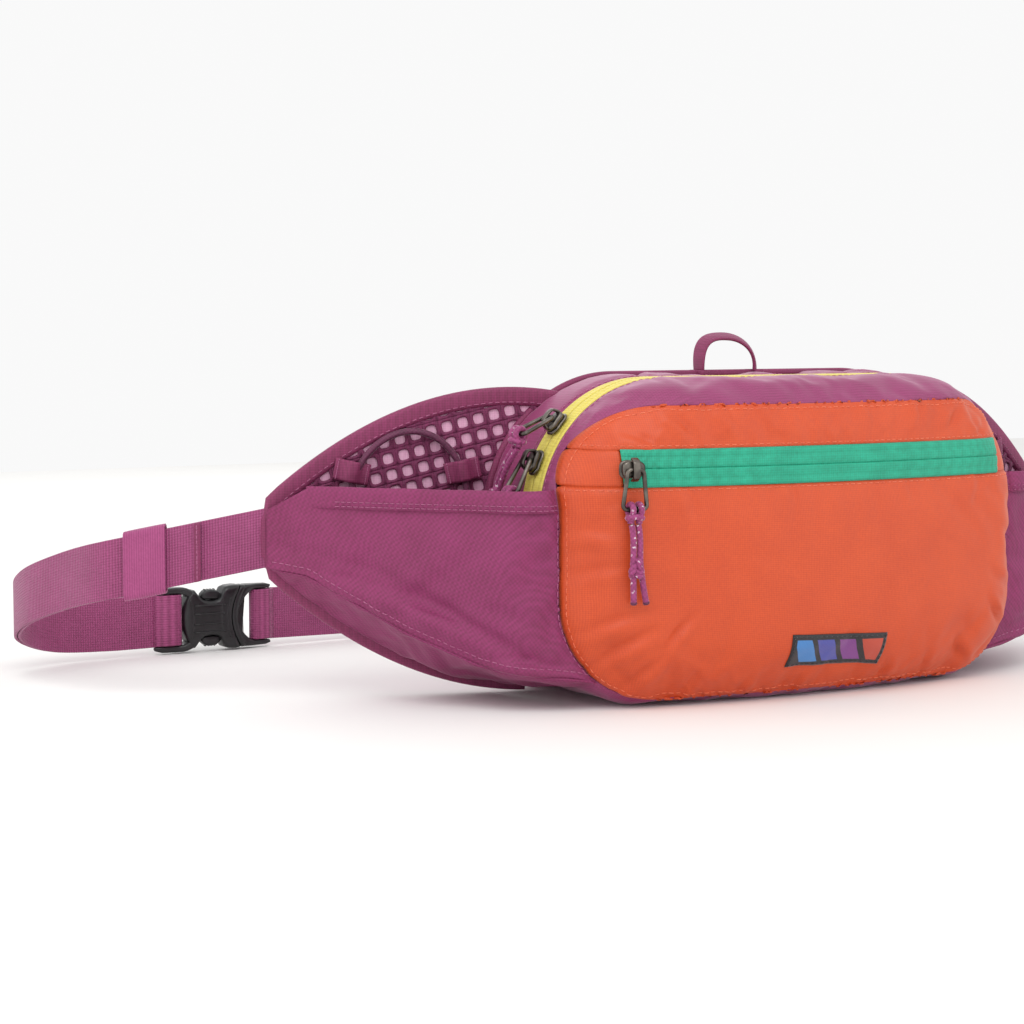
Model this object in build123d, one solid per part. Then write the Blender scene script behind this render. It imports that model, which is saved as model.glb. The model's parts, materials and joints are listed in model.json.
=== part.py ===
from build123d import *
import os
from math import atan2, cos, hypot, pi, radians, sin, sqrt, tan

# Waist pack: zipped body, two mesh wings with side pockets, and a belt with a side-release buckle.
# Millimetres, +Z up. The origin is the middle of the flat underside of the body.
# The front panel faces -Y and the wearer's back is at +Y.

# Driving dimensions of the body
HALF_WIDTH = 118.0        # half the width of the body
HEIGHT = 134.0            # underside to top seam
TOP_RADIUS = 57.0         # upper corners of the gusset
LOW_RADIUS = 42.0         # lower corners of the gusset
EDGE_Y = -40.0            # front edge of the gusset at its two ends
FRONT_RADIUS = 450.0      # bulge of the front panel, about a vertical axis
BACK_LOW_Y = 42.0         # back panel at the underside
BACK_TOP_Y = 28.0         # back panel at the top seam
WALL = 2.2                # fabric with its lining
FRONT_ROUND = 24.0        # rounding where the gusset turns into the front panel
PANEL_HALF = 115.6        # front panel between its side seams
PANEL_LOW = 3.0           # its lower and upper seams
PANEL_HIGH = 124.0
PANEL_TOP_RADIUS = 38.0
PANEL_LOW_RADIUS = 40.0
BOTTOM_SPLIT = 42.0       # the bottom panel reaches this high on both sides
FOAM = 5.0                # back padding

# Zips
TAPE = 14.7               # exposed width of both tapes
COIL_WIDTH = 4.0
COIL_RISE = 0.9
FRONT_ZIP_Z = 99.0
FRONT_ZIP_HALF = 96.0
MAIN_ZIP_Y = -7.5         # centre line of the main zip on the gusset
MAIN_ZIP_END_Z = 45.0     # both ends of the main zip

# Sliders and pulls
SLIDER_LENGTH = 11.0
SLIDER_WIDTH = 8.4
SLIDER_THICK = 3.6
SLIDER_GAP = 1.3          # underside of a slider above the tape
LUG_LENGTH = 3.0
LUG_HEIGHT = 3.4
LUG_HOLE = 1.35           # hole radius
HINGE_RISE = SLIDER_GAP + SLIDER_THICK + 1.7
WIRE = 0.9                # wire radius of a pull ring
RING_LENGTH = 16.0
RING_TOP = 6.6            # width at the slider
RING_END = 10.4           # width at the cord
RING_BEND = 1.9
CORD_RADIUS = 1.25
STRAND_GAP = 2.8          # between the centres of the two strands
HITCH = 5.4               # width of the hitch on the ring
KNOT_RADIUS = 4.1
TAIL_SPREAD = 1.3

# Wings and side pockets
WING_ROOT = (-119.0, 32.0)
WING_TIP = (-208.0, 63.0)
WING_THICK = 4.0
BINDING_THICK = 5.0
BINDING_WIDTH = 8.0
POCKET_ROOT = (-118.5, -38.0)
POCKET_TIP = (-207.0, 59.0)
POCKET_THICK = 1.4
HEM_Z = 90.0
HEM_WIDTH = 9.0
SHOCK_RADIUS = 1.4

# Belt and buckle
WEBBING = 25.0
WEBBING_THICK = 1.4
LAYER_STEP = 1.75         # from the middle of one webbing layer to the next
BELT_Z = 15.8
BUCKLE_AT = (-200.0, 204.7, BELT_Z)
BUCKLE_DIRECTION = (0.998, 0.057, 0.0)
BUCKLE_HEIGHT = 31.0
BUCKLE_THICK = 9.6
FEMALE_FRAME = 13.0
FEMALE_LENGTH = 41.0
MALE_START = 41.4
MALE_BASE = 7.6
MALE_LENGTH = 57.0
KEEPER_LENGTH = 17.6
KEEPER_FROM_TIP = 49.0

FRONT_CENTRE_Y = EDGE_Y + sqrt(FRONT_RADIUS**2 - HALF_WIDTH**2)
TOP_CENTRE_X = HALF_WIDTH - TOP_RADIUS
TOP_CENTRE_Z = HEIGHT - TOP_RADIUS
BACK_TILT = atan2(BACK_LOW_Y - BACK_TOP_Y, HEIGHT)
BIG = 400.0

os.makedirs("parts", exist_ok=True)


def save(name, shape):
    export_step(shape, f"parts/{name}.step")


def block(low, high):
    """Box between two corners."""
    size = [b - a for a, b in zip(low, high)]
    middle = [(a + b) / 2 for a, b in zip(low, high)]
    return Pos(*middle) * Box(*size)


# ---------------------------------------------------------------- body

def rounded_prism(half, low, high, low_radius, high_radius, front_y, back_y):
    """Rounded outline, seen from the front, between two depths."""
    sketch = Pos(0, (low + high) / 2) * Rectangle(2 * half, high - low)
    lower = sketch.vertices().group_by(Axis.Y)[0]
    sketch = fillet(lower, low_radius)
    upper = sketch.vertices().group_by(Axis.Y)[-1]
    sketch = fillet(upper, high_radius)
    return extrude(Plane.XZ.offset(-back_y) * sketch, back_y - front_y)


def outline_prism(inset, front_y, back_y):
    """The outline of the body, inset evenly."""
    radii = (LOW_RADIUS - inset, TOP_RADIUS - inset)
    return rounded_prism(HALF_WIDTH - inset, inset, HEIGHT - inset, *radii, front_y, back_y)


def front_cylinder(grow):
    """Upright cylinder whose near side is the front panel, moved out by grow."""
    return Pos(0, FRONT_CENTRE_Y, HEIGHT / 2) * Cylinder(FRONT_RADIUS + grow, 2 * HEIGHT)


def before_back(body, depth):
    """Keep what lies in front of the leaning back plane, moved in by depth."""
    normal = (0, cos(BACK_TILT), sin(BACK_TILT))
    plane = Plane(origin=(0, BACK_LOW_Y - depth / cos(BACK_TILT), 0), z_dir=normal)
    return split(body, bisect_by=plane, keep=Keep.BOTTOM)


def body_solid(depth):
    """Filled body, moved in by depth on every side."""
    solid = outline_prism(depth, -90, 70) & front_cylinder(-depth)
    solid = before_back(solid, depth)
    rim = [e for e in solid.edges() if e.center().Y < EDGE_Y + depth + 3]
    return fillet(rim, FRONT_ROUND - depth)


outer = body_solid(0)
inner = body_solid(WALL)
shell = outer - inner
panel_radii = (PANEL_LOW_RADIUS, PANEL_TOP_RADIUS)
panel_zone = rounded_prism(PANEL_HALF, PANEL_LOW, PANEL_HIGH, *panel_radii, -90, EDGE_Y + 22)
band_low = FRONT_ZIP_Z - TAPE / 2
band_high = FRONT_ZIP_Z + TAPE / 2
tape_front = MAIN_ZIP_Y - TAPE / 2
tape_back = MAIN_ZIP_Y + TAPE / 2

front_wall = shell & panel_zone
save("front_panel_lower", front_wall & block((-BIG, -BIG, -10), (BIG, 0, band_low)))
save("front_panel_upper", front_wall & block((-BIG, -BIG, band_high), (BIG, 0, 200)))
zip_band = front_wall & block((-BIG, -BIG, band_low), (BIG, 0, band_high))
save("front_zip_tape", zip_band & block((-FRONT_ZIP_HALF, -BIG, 0), (FRONT_ZIP_HALF, 0, 200)))
save("front_zip_garage_left", zip_band & block((-BIG, -BIG, 0), (-FRONT_ZIP_HALF, 0, 200)))
save("front_zip_garage_right", zip_band & block((FRONT_ZIP_HALF, -BIG, 0), (BIG, 0, 200)))

coil_layer = front_cylinder(COIL_RISE) - front_cylinder(0)
coil_low = FRONT_ZIP_Z - COIL_WIDTH / 2
coil_high = FRONT_ZIP_Z + COIL_WIDTH / 2
coil_box = block((-FRONT_ZIP_HALF, -BIG, coil_low), (FRONT_ZIP_HALF, 0, coil_high))
save("front_zip_coil", coil_layer & coil_box)

back_wall = shell - before_back(outline_prism(-5, -90, 70), WALL)
save("back_panel", back_wall)
gusset = (shell - panel_zone) - back_wall
save("bottom_panel", gusset & block((-BIG, -BIG, -10), (BIG, BIG, BOTTOM_SPLIT)))
sides = gusset & block((-BIG, -BIG, BOTTOM_SPLIT), (BIG, BIG, 200))
save("front_gusset", sides & block((-BIG, -BIG, 0), (BIG, tape_front, 200)))
save("main_zip_tape", sides & block((-BIG, tape_front, 0), (BIG, tape_back, 200)))
save("rear_gusset", sides & block((-BIG, tape_back, 0), (BIG, BIG, 200)))

coil_front = MAIN_ZIP_Y - COIL_WIDTH / 2
coil_back = MAIN_ZIP_Y + COIL_WIDTH / 2
main_coil = outline_prism(-COIL_RISE, coil_front, coil_back) - outline_prism(0, coil_front, coil_back)
save("main_zip_coil", main_coil & block((-BIG, -BIG, MAIN_ZIP_END_Z), (BIG, BIG, 200)))

# The front pocket's inner wall, the back padding and the slip pocket are sealed inside.
pocket_wall = (front_cylinder(-10) - front_cylinder(-11)) & outline_prism(13, -90, 0)
save("front_pocket_bag", pocket_wall)


def back_sheet(inset, near, far):
    """Sheet parallel to the back panel, from depth near to depth far inside it."""
    slab = outline_prism(inset, -30, 70)
    return before_back(slab, near) - before_back(slab, far)


save("back_padding", back_sheet(9, WALL + 0.2, WALL + FOAM))
slip = back_sheet(15, WALL + FOAM + 0.6, WALL + FOAM + 1.6)
save("inner_slip_pocket", slip & block((-BIG, -BIG, 16), (BIG, BIG, 88)))

LABEL_WIDTH, LABEL_HEIGHT, LABEL_X, LABEL_Z, LABEL_TURN = 49.0, 14.3, 2.5, 20.5, 2.5
label_box = Pos(LABEL_X, -60, LABEL_Z) * Rot(0, LABEL_TURN, 0) * Box(LABEL_WIDTH, 60, LABEL_HEIGHT)
save("label_patch", (body_solid(-1.0) - outer) & label_box)

# ---------------------------------------------------------------- haul loop

LOOP_Y = 24.0
LOOP_HALF, LOOP_RISE, LOOP_BAND, LOOP_THICK = 17.0, 18.0, 4.4, 2.6
LOOP_BASE = HEIGHT + LOOP_THICK / 2 + 0.4


def arch(half, rise):
    """Half-round arch on the XZ plane, standing on the loop's base."""
    legs = rise - half * 0.8
    edges = Polyline((-half, legs), (-half, 0), (half, 0), (half, legs))
    return make_face(edges + ThreePointArc((half, legs), (0, rise), (-half, legs)))


loop_face = arch(LOOP_HALF, LOOP_RISE) - arch(LOOP_HALF - LOOP_BAND, LOOP_RISE - LOOP_BAND)
loop_plane = Plane(origin=(0, LOOP_Y + LOOP_THICK / 2, LOOP_BASE), x_dir=(1, 0, 0), z_dir=(0, -1, 0))
save("haul_loop", extrude(loop_plane * loop_face, LOOP_THICK))

# ---------------------------------------------------------------- wings and side pockets


def upright_plane(start, end):
    """Vertical plane through two plan points: x runs along them, y is up, z is horizontal."""
    run = hypot(end[0] - start[0], end[1] - start[1])
    ex = (end[0] - start[0]) / run
    ey = (end[1] - start[1]) / run
    return Plane(origin=(start[0], start[1], 0), x_dir=(ex, ey, 0), z_dir=(ey, -ex, 0)), run


wing_plane, wing_run = upright_plane(WING_ROOT, WING_TIP)
pocket_plane, pocket_run = upright_plane(POCKET_ROOT, POCKET_TIP)

wing_edge = ThreePointArc((0, 129.5), (wing_run * 0.52, 114), (wing_run, 81))
wing_edge += Line((wing_run, 81), (wing_run, 54.5))
wing_edge += ThreePointArc((wing_run, 54.5), (wing_run * 0.52, 20), (0, 2))
wing_edge += Line((0, 2), (0, 129.5))
wing_face = make_face(wing_edge)
mesh_face = offset(wing_face, -BINDING_WIDTH)
mesh_face = (mesh_face + Pos(BINDING_WIDTH, 67) * Rectangle(2 * BINDING_WIDTH, 105)) & wing_face


def wing_slab(face, thick):
    return extrude(wing_plane * face, thick / 2, both=True)


mesh_panel = wing_slab(mesh_face, WING_THICK)
binding = wing_slab(wing_face - mesh_face, BINDING_THICK)

pocket_low = [(0, 11), (36, 18.5), (68, 30.5), (90, 41.5), (112, 52.5), (pocket_run, 55)]
pocket_high = [(pocket_run, 79.5), (111, HEM_Z), (0, HEM_Z)]
pocket_face = make_face(Polyline(*pocket_low, *pocket_high, close=True))
hem_zone = Pos(55, HEM_Z - HEM_WIDTH / 2) * Rectangle(112, HEM_WIDTH)
hem_face = pocket_face & hem_zone
pocket_panel = extrude(pocket_plane * (pocket_face - hem_zone), -POCKET_THICK)
pocket_hem = extrude(pocket_plane * hem_face, -POCKET_THICK - 0.8)

fold_corners = [Vector(-119.8, -32, 10.5), Vector(-119.8, 27, 3.6), Vector(-193, 54, 47.5)]
fold_face = Face(Wire.make_polygon(fold_corners))
pocket_fold = extrude(fold_face, 1.2, dir=(0, 0, -1))

# The elastic cord loop on the mesh: up from behind the hem, through two sewn tabs and down again.
CORD_STANDS = BINDING_THICK / 2 + SHOCK_RADIUS + 0.3
shock_route = [(56, 62), (58, 79), (55, 95), (45, 108), (30.5, 113), (17, 108), (8.5, 95), (6.5, 79), (9, 62)]


def arc_radii(points):
    """Radius of every corner: 0.45 of its shorter run over the tangent of half its turn."""
    found = []
    for before, at, after in zip(points, points[1:], points[2:]):
        into, out = at - before, after - at
        turn = radians(into.get_angle(out))
        found.append(0.45 * min(into.length, out.length) / tan(turn / 2))
    return found


def cord_tube(points, radius, label):
    """Tube along straight runs joined by tangent arcs."""
    points = [Vector(*p) for p in points]
    radii = arc_radii(points)
    path = FilletPolyline(*points, radius=radii)
    start = Plane(origin=path @ 0, z_dir=path % 0)
    tube = sweep(start * Circle(radius), path=path)
    print(label, "radii", [round(r, 1) for r in radii], "length", round(path.length, 1),
          "volume ratio", round(tube.volume / (path.length * pi * radius**2), 4))
    return tube


shock_points = [wing_plane.from_local_coords(Vector(u, z, -CORD_STANDS)) for u, z in shock_route]
shock_cord = cord_tube(shock_points, SHOCK_RADIUS, "shock cord")

# Each tab is a folded strip sewn to the mesh, with the cord running through its fold.
TAB_LENGTH, TAB_WIDTH = 15.0, 9.0


def cord_tab(u, z, turn):
    frame = wing_plane * Pos(u, z, -BINDING_THICK / 2 - 0.1) * Rot(0, 0, turn)
    depth = CORD_STANDS - BINDING_THICK / 2
    reach = depth + SHOCK_RADIUS + 1.2
    strip = frame * Pos(0, 0, -reach / 2) * Box(TAB_LENGTH, TAB_WIDTH, reach)
    return strip - frame * Pos(0, 0, -depth) * Box(7 * SHOCK_RADIUS, 40, 2 * SHOCK_RADIUS + 0.8)


cord_tabs = Compound(children=[cord_tab(56, 95, 12), cord_tab(9, 95, -12)])

for side, turned in (("left", lambda s: s), ("right", lambda s: mirror(s, about=Plane.YZ))):
    save(f"wing_mesh_{side}", turned(mesh_panel))
    save(f"wing_binding_{side}", turned(binding))
    save(f"pocket_panel_{side}", turned(pocket_panel))
    save(f"pocket_hem_{side}", turned(pocket_hem))
    save(f"pocket_fold_{side}", turned(pocket_fold))
    save(f"shock_cord_{side}", turned(shock_cord))
    save(f"cord_tabs_{side}", turned(cord_tabs))

# ---------------------------------------------------------------- belt


def strap(route, tangents, start, end, count, layer):
    """Webbing on edge along a smooth route, from share start to share end of it."""
    path = Spline(*route, tangents=tangents)
    sections = []
    for i in range(count + 1):
        share = start + (end - start) * i / count
        at, along = path @ share, path % share
        flat = Vector(along.X, along.Y, 0).normalized()
        out = Vector(-flat.Y, flat.X, 0)
        frame = Plane(origin=at + out * layer, x_dir=out, z_dir=flat)
        sections.append(frame * Rectangle(WEBBING_THICK, WEBBING))
    return loft(sections, ruled=True)


def straight_piece(start, end, layer, thick=WEBBING_THICK):
    """Flat webbing on edge between two points."""
    run = end - start
    flat = Vector(run.X, run.Y, 0).normalized()
    out = Vector(-flat.Y, flat.X, 0)
    frames = [Plane(origin=p + out * layer, x_dir=out, z_dir=flat) for p in (start, end)]
    return loft([f * Rectangle(thick, WEBBING) for f in frames], ruled=True)


buckle_x = Vector(*BUCKLE_DIRECTION).normalized()
buckle_z = buckle_x.cross(Vector(0, 0, 1))
buckle = Plane(origin=BUCKLE_AT, x_dir=buckle_x, z_dir=buckle_z)
tip = Vector(*WING_TIP, 67.0)
first_run = Vector(-0.86, 0.471, -0.2).normalized()
belt_start = tip + first_run * 9
straight_end = tip + first_run * 64
female_end = buckle.from_local_coords(Vector(-0.2, 0, 0))
male_end = buckle.from_local_coords(Vector(MALE_LENGTH + 0.2, 0, 0))

# Sewn end of the webbing between the layers of each wing tip
anchor = straight_piece(tip + first_run * 1.2, belt_start - first_run * 0.6, 0, WEBBING_THICK + 0.8)
save("strap_anchor_left", anchor)
save("strap_anchor_right", mirror(anchor, about=Plane.YZ))

left_route = [straight_end, (-273, 122, 47), (-280, 152, 37.5), (-275, 180, 27), (-256, 196, 18.5),
              (-228, 202, 16), female_end]
left_ends = [first_run, buckle_x]
bend_inner = strap(left_route, left_ends, 0, 1, 22, 0)
bend_outer = strap(left_route, left_ends, 0, 1, 22, LAYER_STEP)
tail_end = tip + first_run * 25
save("strap_left", bend_inner + straight_piece(belt_start, straight_end, 0))
save("strap_tail", bend_outer + straight_piece(tail_end, straight_end, LAYER_STEP))

right_tip = Vector(-tip.X, tip.Y, tip.Z)
right_leave = Vector(-first_run.X, first_run.Y, first_run.Z)
right_start = right_tip + right_leave * 8.8
right_route = [right_start, (229, 92, 58), (226, 122, 46), (203, 154, 33), (164, 181, 24), (108, 203, 18),
               (40, 215, 14.5), (-30, 217, 14), (-98, 212, 15), male_end]
save("strap_right", strap(right_route, [right_leave, -buckle_x], 0, 1, 34, 0))

keeper_flat = Vector(first_run.X, first_run.Y, 0).normalized()
keeper_out = Vector(-keeper_flat.Y, keeper_flat.X, 0)
keeper_at = tip + first_run * KEEPER_FROM_TIP + keeper_out * LAYER_STEP / 2
keeper_frame = Plane(origin=keeper_at, x_dir=first_run, z_dir=keeper_out)
stack = LAYER_STEP + WEBBING_THICK
keeper_ring = Box(KEEPER_LENGTH, WEBBING + 4.0, stack + 3.0) - Box(60, WEBBING + 1.2, stack + 0.8)
save("strap_keeper", keeper_frame * keeper_ring)

# ---------------------------------------------------------------- buckle


def slot(u, width, height=26.5):
    return Pos(u, 0, 0) * Box(width, height, 40)


frame_body = Pos(FEMALE_FRAME / 2, 0, 0) * Box(FEMALE_FRAME, BUCKLE_HEIGHT, 4.6)
frame_body = fillet(frame_body.edges().filter_by(Axis.Z).group_by(Axis.X)[0], 3.5)
frame_body = frame_body - slot(4.3, 3.0) - slot(9.9, 3.0)
shell_length = FEMALE_LENGTH - FEMALE_FRAME
shell_body = Pos(FEMALE_FRAME + shell_length / 2, 0, 0) * Box(shell_length, BUCKLE_HEIGHT, BUCKLE_THICK)
shell_body = fillet(shell_body.edges().filter_by(Axis.X), 3.0)
cavity = Pos(FEMALE_LENGTH - 12.5 + 5, 0, 0) * Box(35, 28.0, 5.8)
window = Pos(26.5, 0, 0) * Box(12.5, 13, 40)
shell_body = shell_body - cavity - Pos(0, 16.5, 0) * window - Pos(0, -16.5, 0) * window
save("buckle_female", buckle * (frame_body + shell_body))

male_base = Pos(MALE_START + MALE_BASE / 2, 0, 0) * Box(MALE_BASE, BUCKLE_HEIGHT - 1, BUCKLE_THICK - 0.8)
male_base = fillet(male_base.edges().filter_by(Axis.X), 2.6)
bar_start = MALE_START + MALE_BASE
male_bar = Pos((bar_start + MALE_LENGTH) / 2, 0, 0) * Box(MALE_LENGTH - bar_start, BUCKLE_HEIGHT - 1, 4.6)
male_bar = fillet(male_bar.edges().filter_by(Axis.Z).group_by(Axis.X)[-1], 3.0) - slot(bar_start + 3.0, 3.4)
guide_pin = Pos((22 + MALE_START) / 2, 0, 0) * Box(MALE_START - 22 + 0.1, 4.0, 4.2)
save("buckle_male", buckle * (male_base + male_bar + guide_pin))

PRONG_ROOT = MALE_START - 0.35
PRONG_V = 10.0            # centre line of each arm


def prong(side):
    arm = block((24, PRONG_V - 1.4, -2.2), (PRONG_ROOT, PRONG_V + 1.4, 2.2))
    head = block((21, PRONG_V - 1.4, -2.2), (31, 13.6, 2.2))
    shape = arm + head
    return buckle * (shape if side > 0 else mirror(shape, about=Plane.XZ))


save("buckle_prong_upper", prong(1))
save("buckle_prong_lower", prong(-1))

# ---------------------------------------------------------------- sliders, rings and cord pulls

# A zip frame has its x along the zip, y across it and z straight out of the fabric.


def slider(across):
    """Slider body with a lug. across turns the lug's hole to lie along the zip."""
    plate = Pos(0, 0, SLIDER_GAP + SLIDER_THICK / 2) * Box(SLIDER_LENGTH, SLIDER_WIDTH, SLIDER_THICK)
    plate = fillet(plate.edges().filter_by(Axis.Z), 2.4)
    lug = Pos(0, 0, SLIDER_GAP + SLIDER_THICK + LUG_HEIGHT / 2) * Box(5.2, LUG_LENGTH, LUG_HEIGHT)
    hole = Pos(0, 0, HINGE_RISE) * Rot(90, 0, 0) * Cylinder(LUG_HOLE, 30)
    lug = fillet(lug.edges().filter_by(Axis.Y).group_by(Axis.Z)[-1], 1.2) - hole
    return plate + (Rot(0, 0, 90) * lug if across else lug)


def ring():
    """Wire ring whose first side lies on the hinge, along y, and which reaches out along x."""
    near, far = RING_TOP / 2, RING_END / 2
    corners = [(0, near), (0, -near), (RING_LENGTH, -far), (RING_LENGTH, far)]
    path = fillet(make_face(Polyline(*corners, close=True)).vertices(), RING_BEND).wire()
    start = Plane(origin=path @ 0, z_dir=path % 0)
    return sweep(start * Circle(WIRE), path=path)


def hitch_block():
    """Cord hitched round the ring's far side, which lies along y through the origin."""
    body = Pos(0.9, 0, 0) * Box(7.2, HITCH, 5.2)
    body = fillet(body.edges().filter_by(Axis.Y), 1.6)
    return body - Rot(90, 0, 0) * Cylinder(WIRE + 0.35, 30)


def pull(name, zip_frame, across, ring_turn, cord_points):
    """Slider, ring and hanging cord of one zip. cord_points run down from the ring's far side."""
    save(f"slider_{name}", zip_frame * slider(across))
    hinge = zip_frame * Pos(0, 0, HINGE_RISE)
    if across:
        hinge = hinge * Rot(0, 0, -90)
    ring_frame = hinge * Rot(0, ring_turn, 0)
    save(f"pull_ring_{name}", ring_frame * ring())
    far_side = Plane(ring_frame * Pos(RING_LENGTH, 0, 0))
    spread = far_side.y_dir
    aim = Vector(*cord_points[0])
    aim = (aim - spread * aim.dot(spread)).normalized()
    cord_frame = Plane(origin=far_side.origin, x_dir=aim, z_dir=aim.cross(spread))
    knot = Pos(*(far_side.origin + Vector(*cord_points[-2]))) * Sphere(KNOT_RADIUS)
    strands = []
    for hand in (-1, 1):
        aside = spread * (hand * STRAND_GAP / 2)
        route = [far_side.origin + aim * (HITCH + 0.6) + aside]
        route += [far_side.origin + Vector(*point) + aside for point in cord_points]
        route[-1] += spread * (hand * TAIL_SPREAD)
        strands.append(cord_tube(route, CORD_RADIUS, f"pull cord {name}") - knot)
    save(f"pull_cord_{name}", Compound(children=strands))
    save(f"pull_knots_{name}", Compound(children=[cord_frame * hitch_block(), knot]))
    print(name, "hinge", hinge.position, "ring end", far_side.origin, "axis", spread)


front_turn = radians(-12.0)
front_zip = Plane(
    origin=(FRONT_RADIUS * sin(front_turn), FRONT_CENTRE_Y - FRONT_RADIUS * cos(front_turn), FRONT_ZIP_Z),
    x_dir=(cos(front_turn), sin(front_turn), 0),
    z_dir=(sin(front_turn), -cos(front_turn), 0),
)


def corner_zip(angle):
    """Zip frame on the left upper corner, angle degrees above level; x points down the side."""
    a = radians(angle)
    out = (-cos(a), 0, sin(a))
    at = (-TOP_CENTRE_X + TOP_RADIUS * out[0], MAIN_ZIP_Y, TOP_CENTRE_Z + TOP_RADIUS * out[2])
    return Plane(origin=at, x_dir=(-sin(a), 0, -cos(a)), z_dir=out)


pull("front", front_zip, True, 4.0, [(0.8, -0.6, -10), (0.3, -0.9, -24), (2.4, -0.4, -38)])
pull("upper", corner_zip(41), False, -25.0, [(-1.8, 7, -12), (-3.0, 14, -26), (-5.5, 20, -40)])
pull("lower", corner_zip(23), False, -6.0, [(-3.5, 6, -11), (-7.5, 14, -24), (-12, 20, -36)])
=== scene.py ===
import bpy
import json
from math import atan2, cos, hypot, pi, radians, sin, sqrt
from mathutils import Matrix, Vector
from mathutils.bvhtree import BVHTree

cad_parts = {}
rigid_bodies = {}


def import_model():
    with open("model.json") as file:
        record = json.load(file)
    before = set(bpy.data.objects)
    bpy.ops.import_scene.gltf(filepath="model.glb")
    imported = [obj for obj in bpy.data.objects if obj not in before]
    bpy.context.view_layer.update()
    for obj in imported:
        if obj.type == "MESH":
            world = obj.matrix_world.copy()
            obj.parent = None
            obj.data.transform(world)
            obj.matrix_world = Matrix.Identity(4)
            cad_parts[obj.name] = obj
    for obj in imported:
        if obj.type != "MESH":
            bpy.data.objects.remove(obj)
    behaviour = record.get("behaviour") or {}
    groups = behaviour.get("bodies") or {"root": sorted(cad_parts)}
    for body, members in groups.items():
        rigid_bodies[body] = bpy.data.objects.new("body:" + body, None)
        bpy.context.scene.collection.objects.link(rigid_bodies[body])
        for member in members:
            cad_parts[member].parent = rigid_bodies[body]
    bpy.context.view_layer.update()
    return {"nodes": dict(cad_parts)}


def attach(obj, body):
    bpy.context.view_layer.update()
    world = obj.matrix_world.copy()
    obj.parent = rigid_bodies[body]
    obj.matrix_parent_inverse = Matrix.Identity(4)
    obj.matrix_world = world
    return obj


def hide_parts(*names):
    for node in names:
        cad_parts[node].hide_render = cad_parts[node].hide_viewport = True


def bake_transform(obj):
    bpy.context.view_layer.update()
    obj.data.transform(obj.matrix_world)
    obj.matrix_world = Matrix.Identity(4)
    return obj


# Waist pack: ripstop body with two coil zips, mesh wings with side pockets, and a webbing belt.
# Sizes are worked out in millimetres, as a maker writes them, and meshes are stored in metres.

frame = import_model()
MM = 0.001

# ---------------------------------------------------------------- camera and light

CAMERA_TURN = 29.0        # degrees round from straight in front, towards the left side
CAMERA_DIP = 4.81         # degrees downwards
LENS = 84.375             # on a sensor 36 mm wide

scene = bpy.context.scene
camera_data = bpy.data.cameras.new("camera")
camera_data.lens = LENS
camera_data.sensor_width = 36.0
camera_data.clip_start = 0.01
camera = bpy.data.objects.new("camera", camera_data)
camera.location = (-0.6007, -0.8629, 0.1625)
camera.rotation_euler = (radians(90 - CAMERA_DIP), 0, radians(-CAMERA_TURN))
scene.collection.objects.link(camera)
scene.camera = camera
scene.view_settings.view_transform = "Standard"


def area_light(name, place, aim, size, power):
    data = bpy.data.lights.new(name, "AREA")
    data.size = size
    data.energy = power
    lamp = bpy.data.objects.new(name, data)
    lamp.location = place
    lamp.rotation_euler = (Vector(aim) - Vector(place)).to_track_quat("-Z", "Y").to_euler()
    scene.collection.objects.link(lamp)


area_light("key", (-0.55, -0.75, 1.15), (0, 0, 0.06), 0.9, 6.5)
area_light("front_fill", (0.75, -1.1, 0.55), (0, 0, 0.06), 1.1, 2.6)
area_light("side_fill", (-1.2, 0.25, 0.5), (-0.1, 0.05, 0.05), 0.9, 2.2)
area_light("back_rim", (0.35, 1.15, 0.8), (0, 0.1, 0.06), 0.9, 2.5)

world = bpy.data.worlds.new("studio")
world.use_nodes = True
background = world.node_tree.nodes["Background"]
background.inputs["Color"].default_value = (1.0, 1.0, 1.0, 1.0)
background.inputs["Strength"].default_value = 0.95
scene.world = world


def linear(hex_colour):
    """sRGB hex value as linear red, green, blue and alpha."""
    parts = [int(hex_colour[i:i + 2], 16) / 255 for i in (1, 3, 5)]
    return [p / 12.92 if p <= 0.04045 else ((p + 0.055) / 1.055) ** 2.4 for p in parts] + [1.0]


def add(tree, kind, links=(), **settings):
    """One node. A setting whose name is a socket's fills that socket, and any other is the
    node's own. links are (socket here, node there, socket there)."""
    node = tree.nodes.new(kind)
    for key, value in settings.items():
        if hasattr(node, key):
            setattr(node, key, value)
    for key, value in settings.items():
        if not hasattr(node, key):
            node.inputs[key.replace("_", " ")].default_value = value
    for socket, other, output in links:
        target = node.inputs[socket]
        tree.links.new(other.outputs[output], target)
    return node


def blank(name):
    material = bpy.data.materials.new(name)
    material.use_nodes = True
    material.node_tree.nodes.clear()
    return material, material.node_tree


# ---------------------------------------------------------------- meshes

def mesh_piece(name, verts, faces, material, body, nodes=(), smooth=True, ride=True):
    """A piece from points in millimetres. It rides on body and stands for the CAD nodes."""
    mesh = bpy.data.meshes.new(name)
    mesh.from_pydata([[c * MM for c in v] for v in verts], [], faces)
    mesh.validate()
    mesh.update()
    piece = bpy.data.objects.new(name, mesh)
    scene.collection.objects.link(piece)
    if smooth:
        mesh.polygons.foreach_set("use_smooth", [True] * len(mesh.polygons))
    finish_piece(piece, material, body, nodes, ride)
    return piece


def finish_piece(piece, material, body, nodes=(), ride=True):
    piece.data.materials.clear()
    piece.data.materials.append(material)
    if ride:
        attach(piece, body)
    if nodes:
        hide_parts(*nodes)


def change(piece, kind, **settings):
    """A modifier with its settings."""
    modifier = piece.modifiers.new(kind.lower(), kind)
    for key, value in settings.items():
        setattr(modifier, key, value)
    return modifier


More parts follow.
